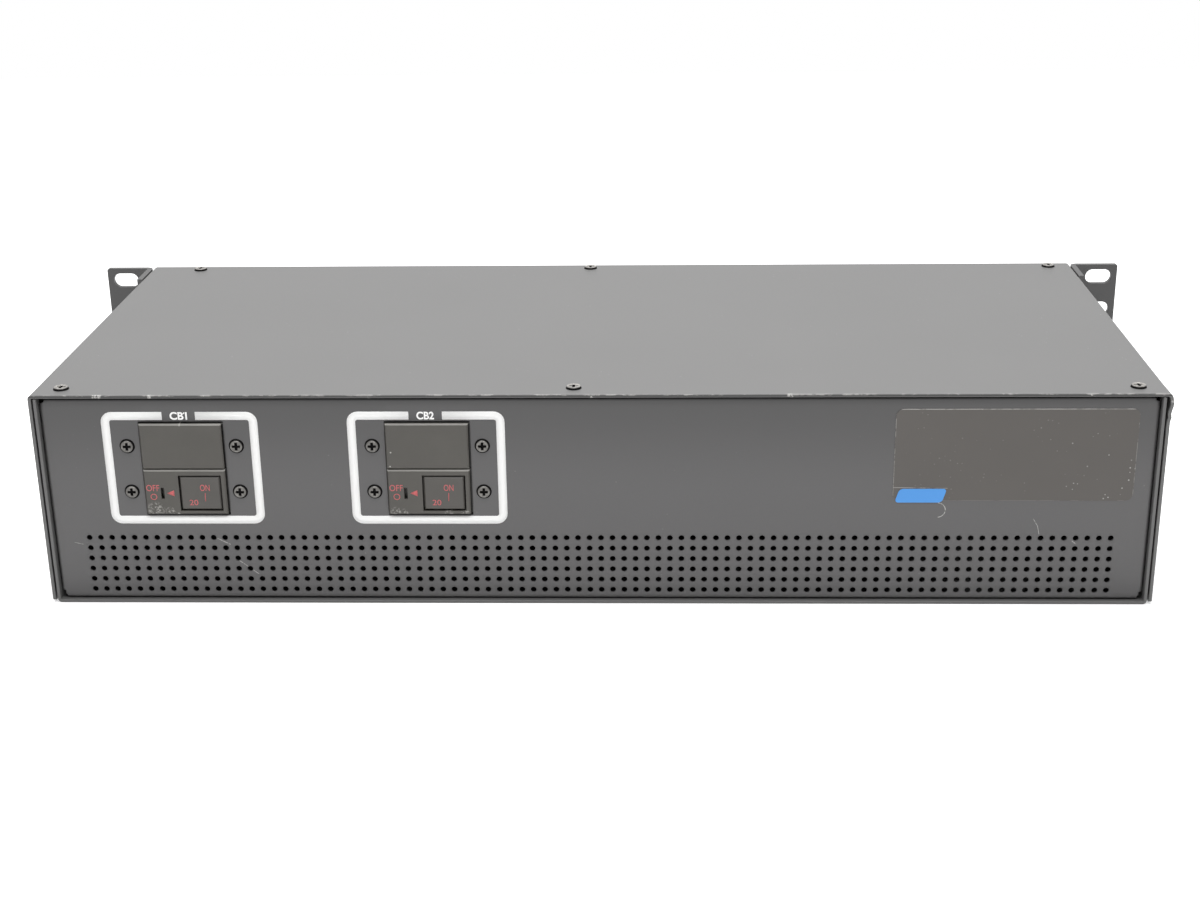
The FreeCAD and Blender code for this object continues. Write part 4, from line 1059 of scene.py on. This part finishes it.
class UNIT_OT_panels(BuildStep, bpy.types.Operator):
    """Front panel with its vent field, and the rear panel"""

    bl_idname = "unit.panels"
    bl_label = "Panels"

    def execute(self, context):
        scene = context.scene
        size = scene.unit_chassis
        parts = front_panel_surfaces(size, scene.unit_vents, scene.unit_breakers, *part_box("front_panel"))
        add_piece("front_sheet", parts, "panel_paint", replaces=("front_panel",),
                  sheet=size.sheet, edge=size.edge, segments=1, crease=50.0)
        low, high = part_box("rear_panel")

        def closed(points):
            """Ends of the side flanges run on over the corner reliefs, so that no light shows through."""
            away = points[:, 2] - (low.z + high.z) / 2
            ends = np.abs(away) > (high.z - low.z) / 2 - size.relief - size.edge
            flange = np.abs(points[:, 0]) > high.x - size.bend + size.edge
            points[:, 2] += np.sign(away) * size.relief_lap * (ends & flange)
            return points

        soften("rear_sheet", "rear_panel", "cover_paint", size.edge, crease=40.0,
               move=closed)
        return {"FINISHED"}


class UNIT_OT_ears(BuildStep, bpy.types.Operator):
    """Rack ears with softened edges"""

    bl_idname = "unit.ears"
    bl_label = "Rack ears"

    def execute(self, context):
        edge = context.scene.unit_chassis.edge
        for side in ("left", "right"):
            soften("ear_" + side, "rack_ear_" + side, "ear_paint", edge, crease=40.0)
        return {"FINISHED"}


class UNIT_OT_screws(BuildStep, bpy.types.Operator):
    """Cross-recessed screws of the breakers, the cover and the ears"""

    bl_idname = "unit.screws"
    bl_label = "Screws"

    def execute(self, context):
        breakers = context.scene.unit_breakers
        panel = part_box("front_panel")[0].y
        points = []
        for number in PAIR:
            low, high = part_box("breaker_%d_guard" % number)
            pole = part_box("breaker_%d_upper_pole" % number)
            middle = (low.x + high.x) / 2
            levels = ((low.z + high.z) / 2, (pole[0].z + pole[1].z) / 2)
            reach = breakers.screw_span / 2
            points += [(middle + side * reach, panel, z) for z in levels for side in (-1, 1)]
        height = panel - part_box("breaker_screws")[0].y
        head = screw_head(breakers.screw_radius, height, breakers.screw_recess, reach=0.5, flat=0.74)
        screw_set("breaker_screw_heads", head, [points], ["-y"], "breaker_screw", "breaker_screws")
        low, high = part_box("cover_screws")
        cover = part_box("top_cover")[1].z
        head = screw_head(COVER_SCREW_RADIUS, high.z - cover, COVER_SCREW_RECESS)
        edge_x = high.x - COVER_SCREW_RADIUS
        front = low.y + COVER_SCREW_RADIUS
        rear = high.y - COVER_SCREW_RADIUS
        middle = COVER_SCREW_MIDDLE
        points = [(-edge_x, front), (middle, front), (edge_x, front),
                  (COVER_SCREW_REAR_LEFT, rear), (middle, rear), (edge_x, rear)]
        screw_set("cover_screw_heads", head, [[(x, y, cover) for x, y in points]], ["z"], "cover_screw",
                  "cover_screws")
        low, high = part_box("ear_screws")
        radius = (high.y - low.y) / 2
        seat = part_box("top_cover")[1].x + EAR_SHEET
        head = screw_head(radius, high.x - seat, EAR_SCREW_RECESS)
        levels = (low.z + radius, high.z - radius)
        middle = (low.y + high.y) / 2
        sides = [[(side * seat, middle, z) for z in levels] for side in (1, -1)]
        screw_set("ear_screw_heads", head, sides, ["x", "-x"], "ear_screw", "ear_screws")
        return {"FINISHED"}


class UNIT_OT_breakers(BuildStep, bpy.types.Operator):
    """Breaker poles, guards, rockers and what lies behind them"""

    bl_idname = "unit.breakers"
    bl_label = "Breakers"

    def execute(self, context):
        edge = context.scene.unit_breakers.edge
        for number in PAIR:
            name = "breaker_%d_" % number
            soften(name + "blank_face", name + "upper_pole", "breaker_plastic", edge)
            soften(name + "guard_face", name + "guard", "guard_plastic", edge)
            soften(name + "button", name + "rocker", "rocker_plastic", edge, body="rocker_%d" % number)
            dress(name + "lower_pole", "breaker_plastic")
            dress(name + "pin", "zinc_steel")
            dress(name + "terminals", "tinned_copper")
        return {"FINISHED"}


class UNIT_OT_marks(BuildStep, bpy.types.Operator):
    """White frames and numbers, and the red marks of the breakers"""

    bl_idname = "unit.marks"
    bl_label = "Printing"

    def execute(self, context):
        scene = context.scene
        line = scene.unit_print
        ink = scene.unit_breakers.ink
        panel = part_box("front_panel")[0].y
        for number in PAIR:
            low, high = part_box("breaker_%d_guard" % number)
            middle = (low.x + high.x) / 2 + line.shift
            ribbon = frame_ribbon(ink, line, middle, panel)
            add_piece("printed_frame_%d" % number, [ribbon], "white_ink", sheet=ink)
            spot = (middle, line.high - line.line / 2)
            lettering("printed_number_%d" % number, line.mark + str(number), spot, line.mark_width,
                      line.mark_height, panel, ink, "white_ink", "chassis", weight=0.03)
            if number == 1:
                corner = (middle + line.mark_width / 2 - line.stroke, spot[1] + line.mark_height / 2)
                self.flag(corner, line, panel, ink)
            self.red_marks(scene.unit_marks, number, ink)
        return {"FINISHED"}

    def flag(self, corner, line, face, ink):
        """Slanted upstroke of the figure one, left of its upper end."""
        x, z = corner
        left = x - line.flag
        points = [(left, z - line.flag * 1.4), (x, z - line.flag * 0.9), (x, z), (left, z - line.flag * 0.6)]
        add_piece("printed_flag_1", [corner_mark(points, face, ink)], "white_ink", sheet=ink)

    def red_marks(self, marks, number, ink):
        """Off marks on the guard, on marks and rating on the rocker."""
        name = "breaker_%d_" % number
        rocker = "rocker_%d" % number
        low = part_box(name + "guard")[0]
        pad_low, pad_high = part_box(name + "rocker")
        guard_corner = np.array([low.x, low.z])
        pad_corner = np.array([pad_high.x, pad_low.z])
        ring = ring_mark(guard_corner + marks.ring, marks.ring_radius, marks.ring_line, low.y, ink)
        tip = guard_corner + marks.pointer
        run, half = marks.pointer_size
        pointer = corner_mark([tip, tip + (run, -half), tip + (run, half), tip], low.y, ink)
        add_piece(name + "off_ring", [ring, pointer], "red_ink", sheet=ink)
        for word, text, corner, spot, size, face, body in (
                ("off_word", "OFF", guard_corner, marks.off, marks.off_size, low.y, "chassis"),
                ("on_word", "ON", pad_corner, marks.on, marks.on_size, pad_low.y, rocker),
                ("rating", "20", pad_corner, marks.rating, marks.rating_size, pad_low.y, rocker)):
            lettering(name + word, text, corner + spot, *size, face, ink, "red_ink", body)
        foot = pad_corner + marks.stroke
        width, height = marks.stroke_size
        head = foot + (marks.stroke_lean, height)
        stroke = corner_mark([foot, foot + (width, 0.0), head + (width, 0.0), head], pad_low.y, ink)
        add_piece(name + "on_stroke", [stroke], "red_ink", body=rocker, sheet=ink)


class UNIT_OT_labels(BuildStep, bpy.types.Operator):
    """Bare film label and blank sticker on the front panel"""

    bl_idname = "unit.labels"
    bl_label = "Labels"

    def execute(self, context):
        size = context.scene.unit_labels
        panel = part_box("front_panel")[0].y
        film = film_plate(size.film_left, size.film_right, size.film_low, size.film_high, size.film_radius,
                          panel, size.film_sheet)
        add_piece("film_label", [surface(film)], "film")
        sticker = film_plate(
            size.sticker_left, size.sticker_right, size.sticker_low, size.sticker_high, size.sticker_radius,
            panel - size.film_sheet, size.film_sheet, size.sticker_slant)
        add_piece("blank_sticker", [surface(sticker)], "sticker")
        return {"FINISHED"}


class UNIT_OT_outlets(BuildStep, bpy.types.Operator):
    """Outlet banks at the rear"""

    bl_idname = "unit.outlets"
    bl_label = "Outlets"

    def execute(self, context):
        edge = context.scene.unit_breakers.edge
        for number in PAIR:
            name = "outlet_bank_%d_" % number
            soften(name + "housing", name + "frame", "outlet_plastic", edge * 2)
            soften(name + "inserts", name + "cores", "outlet_plastic", edge * 2)
            dress(name + "contacts", "tinned_copper")
            dress(name + "bus_bars", "brass_strip")
            dress(name + "back", "outlet_plastic")
        return {"FINISHED"}


class UNIT_OT_gland(BuildStep, bpy.types.Operator):
    """Cord gland at the rear"""

    bl_idname = "unit.gland"
    bl_label = "Gland"

    def execute(self, context):
        edge = context.scene.unit_breakers.edge
        for part, material in (("body", "gland_plastic"), ("nut", "gland_plastic"), ("seal", "seal_rubber"),
                               ("locknut", "gland_plastic")):
            soften("cord_gland_" + part, "gland_" + part, material, edge * 2, crease=20.0)
        return {"FINISHED"}


class UNIT_OT_inside(BuildStep, bpy.types.Operator):
    """Finishes of the parts inside the chassis"""

    bl_idname = "unit.inside"
    bl_label = "Inside"

    def execute(self, context):
        for node, material in (
                ("ear_nuts", "dark_steel"), ("terminal_block", "block_plastic"),
                ("clamp_screws", "zinc_steel"), ("terminal_block_screws", "zinc_steel"),
                ("earth_stud", "zinc_steel"), ("earth_nut", "brass_strip")):
            dress(node, material)
        return {"FINISHED"}


class UNIT_OT_stage(BuildStep, bpy.types.Operator):
    """Floor, soft lamps, white surroundings and the camera"""

    bl_idname = "unit.stage"
    bl_label = "Stage"

    def execute(self, context):
        stage = context.scene.unit_stage
        self.floor(stage)
        self.surroundings(context, stage)
        self.lamp("top_lamp", stage.top_lamp, stage.top_size, stage.top_stand)
        self.lamp("strip_lamp", stage.strip_lamp, stage.strip_size, stage.strip_stand)
        self.camera(context, stage)
        context.scene.view_settings.view_transform = "Standard"
        return {"FINISHED"}

    def seen(self, shader):
        """One for rays that the camera, a gloss or a glass sends."""
        looks = [shader.node("ShaderNodeLightPath", output=name)
                 for name in ("Is Camera Ray", "Is Glossy Ray", "Is Transmission Ray")]
        return looks[0].most(looks[1]).most(looks[2])

    def floor(self, stage):
        """Wide pale plane that keeps the shadow and is lifted towards white where it is seen."""
        reach = spread(-stage.floor_size, stage.floor_size, 2)
        points, quads = surface(xyz(reach[:, None], reach[None, :], 0.0))
        mesh = bpy.data.meshes.new("floor")
        mesh.from_pydata(points.tolist(), [], quads.tolist())
        shader = new_shader("unit_floor")
        shader.surface({"Base Color": tuple(stage.floor), "Roughness": 0.9, "Specular IOR Level": 0.0,
                        "Emission Strength": 1.0})
        lift = shader.mix(self.seen(shader), (0.0, 0.0, 0.0), (stage.floor_lift,) * 3)
        shader.surface({"Emission Color": lift})
        mesh.materials.append(shader.owner)
        piece = bpy.data.objects.new("floor", mesh)
        bpy.context.scene.collection.objects.link(piece)

    def surroundings(self, context, stage):
        """White where it is seen, and a plain even sky as light."""
        world = bpy.data.worlds.new("surroundings")
        context.scene.world = world
        shader = Shader(world)
        white = shader.node("ShaderNodeBackground", values={"Color": (1.0, 1.0, 1.0), "Strength": 1.0})
        sky = shader.node("ShaderNodeBackground", values={"Color": (1.0, 1.0, 1.0), "Strength": stage.sky})
        both = shader.node("ShaderNodeMixShader", values={0: self.seen(shader), 1: sky, 2: white})
        output = shader.tree.nodes["World Output"]
        shader.tree.links.new(both.socket, output.inputs["Surface"])

    def lamp(self, name, watts, size, stand):
        """Soft oblong lamp that faces the middle of the floor."""
        light = bpy.data.lights.new(name, "AREA")
        light.energy = watts
        light.shape = "RECTANGLE"
        light.size, light.size_y = size
        lamp = bpy.data.objects.new(name, light)
        stand = Vector(stand)
        lamp.matrix_world = Matrix.Translation(stand) @ stand.to_track_quat("Z", "Y").to_matrix().to_4x4()
        bpy.context.scene.collection.objects.link(lamp)

    def camera(self, context, stage):
        """Camera of the 1200 by 900 frame, from its pitch, yaw and roll."""
        pitch, yaw, roll = stage.pitch, stage.yaw, stage.roll
        flat = math.cos(pitch)
        forward = np.array([math.sin(yaw) * flat, math.cos(yaw) * flat, -math.sin(pitch)])
        level = np.array([math.cos(yaw), -math.sin(yaw), 0.0])
        upright = np.cross(level, forward)
        right = math.cos(roll) * level + math.sin(roll) * upright
        up = math.cos(roll) * upright - math.sin(roll) * level
        matrix = np.eye(4)
        matrix[:3, :3] = np.stack([right, up, -forward], axis=1)
        matrix[:3, 3] = stage.camera
        data = bpy.data.cameras.new("camera")
        data.sensor_width = stage.sensor
        data.lens = stage.lens
        data.clip_start = 0.01
        data.clip_end = 100.0
        camera = bpy.data.objects.new("camera", data)
        camera.matrix_world = Matrix(matrix.tolist())
        context.scene.collection.objects.link(camera)
        context.scene.camera = camera


class UNIT_PT_panel(bpy.types.Panel):
    """Sidebar list of the building steps"""

    bl_idname = "UNIT_PT_panel"
    bl_label = "Power Unit"
    bl_space_type = "VIEW_3D"
    bl_region_type = "UI"
    bl_category = "Power Unit"

    def draw(self, context):
        for step in STEPS:
            self.layout.operator(step.bl_idname)


SETTINGS = {
    "unit_chassis": PowerUnitChassis, "unit_vents": PowerUnitVents, "unit_breakers": PowerUnitBreakers,
    "unit_marks": PowerUnitMarks, "unit_print": PowerUnitPrint, "unit_labels": PowerUnitLabels,
    "unit_finish": PowerUnitFinish, "unit_stage": PowerUnitStage,
}
STEPS = (
    UNIT_OT_cover, UNIT_OT_tray, UNIT_OT_panels, UNIT_OT_ears, UNIT_OT_screws, UNIT_OT_breakers,
    UNIT_OT_marks, UNIT_OT_labels, UNIT_OT_outlets, UNIT_OT_gland, UNIT_OT_inside, UNIT_OT_stage,
)


def register():
    """Register the settings, the steps and the panel."""
    for name, group in SETTINGS.items():
        bpy.utils.register_class(group)
        setattr(bpy.types.Scene, name, PointerProperty(type=group))
    for step in STEPS + (UNIT_PT_panel,):
        bpy.utils.register_class(step)


def unregister():
    """Remove what register added."""
    for step in (UNIT_PT_panel,) + STEPS:
        bpy.utils.unregister_class(step)
    for name, group in SETTINGS.items():
        delattr(bpy.types.Scene, name)
        bpy.utils.unregister_class(group)


def main():
    """Build every piece and the stage."""
    register()
    bpy.ops.unit.cover()
    bpy.ops.unit.tray()
    bpy.ops.unit.panels()
    bpy.ops.unit.ears()
    bpy.ops.unit.screws()
    bpy.ops.unit.breakers()
    bpy.ops.unit.marks()
    bpy.ops.unit.labels()
    bpy.ops.unit.outlets()
    bpy.ops.unit.gland()
    bpy.ops.unit.inside()
    bpy.ops.unit.stage()


if __name__ == "__main__":
    main()
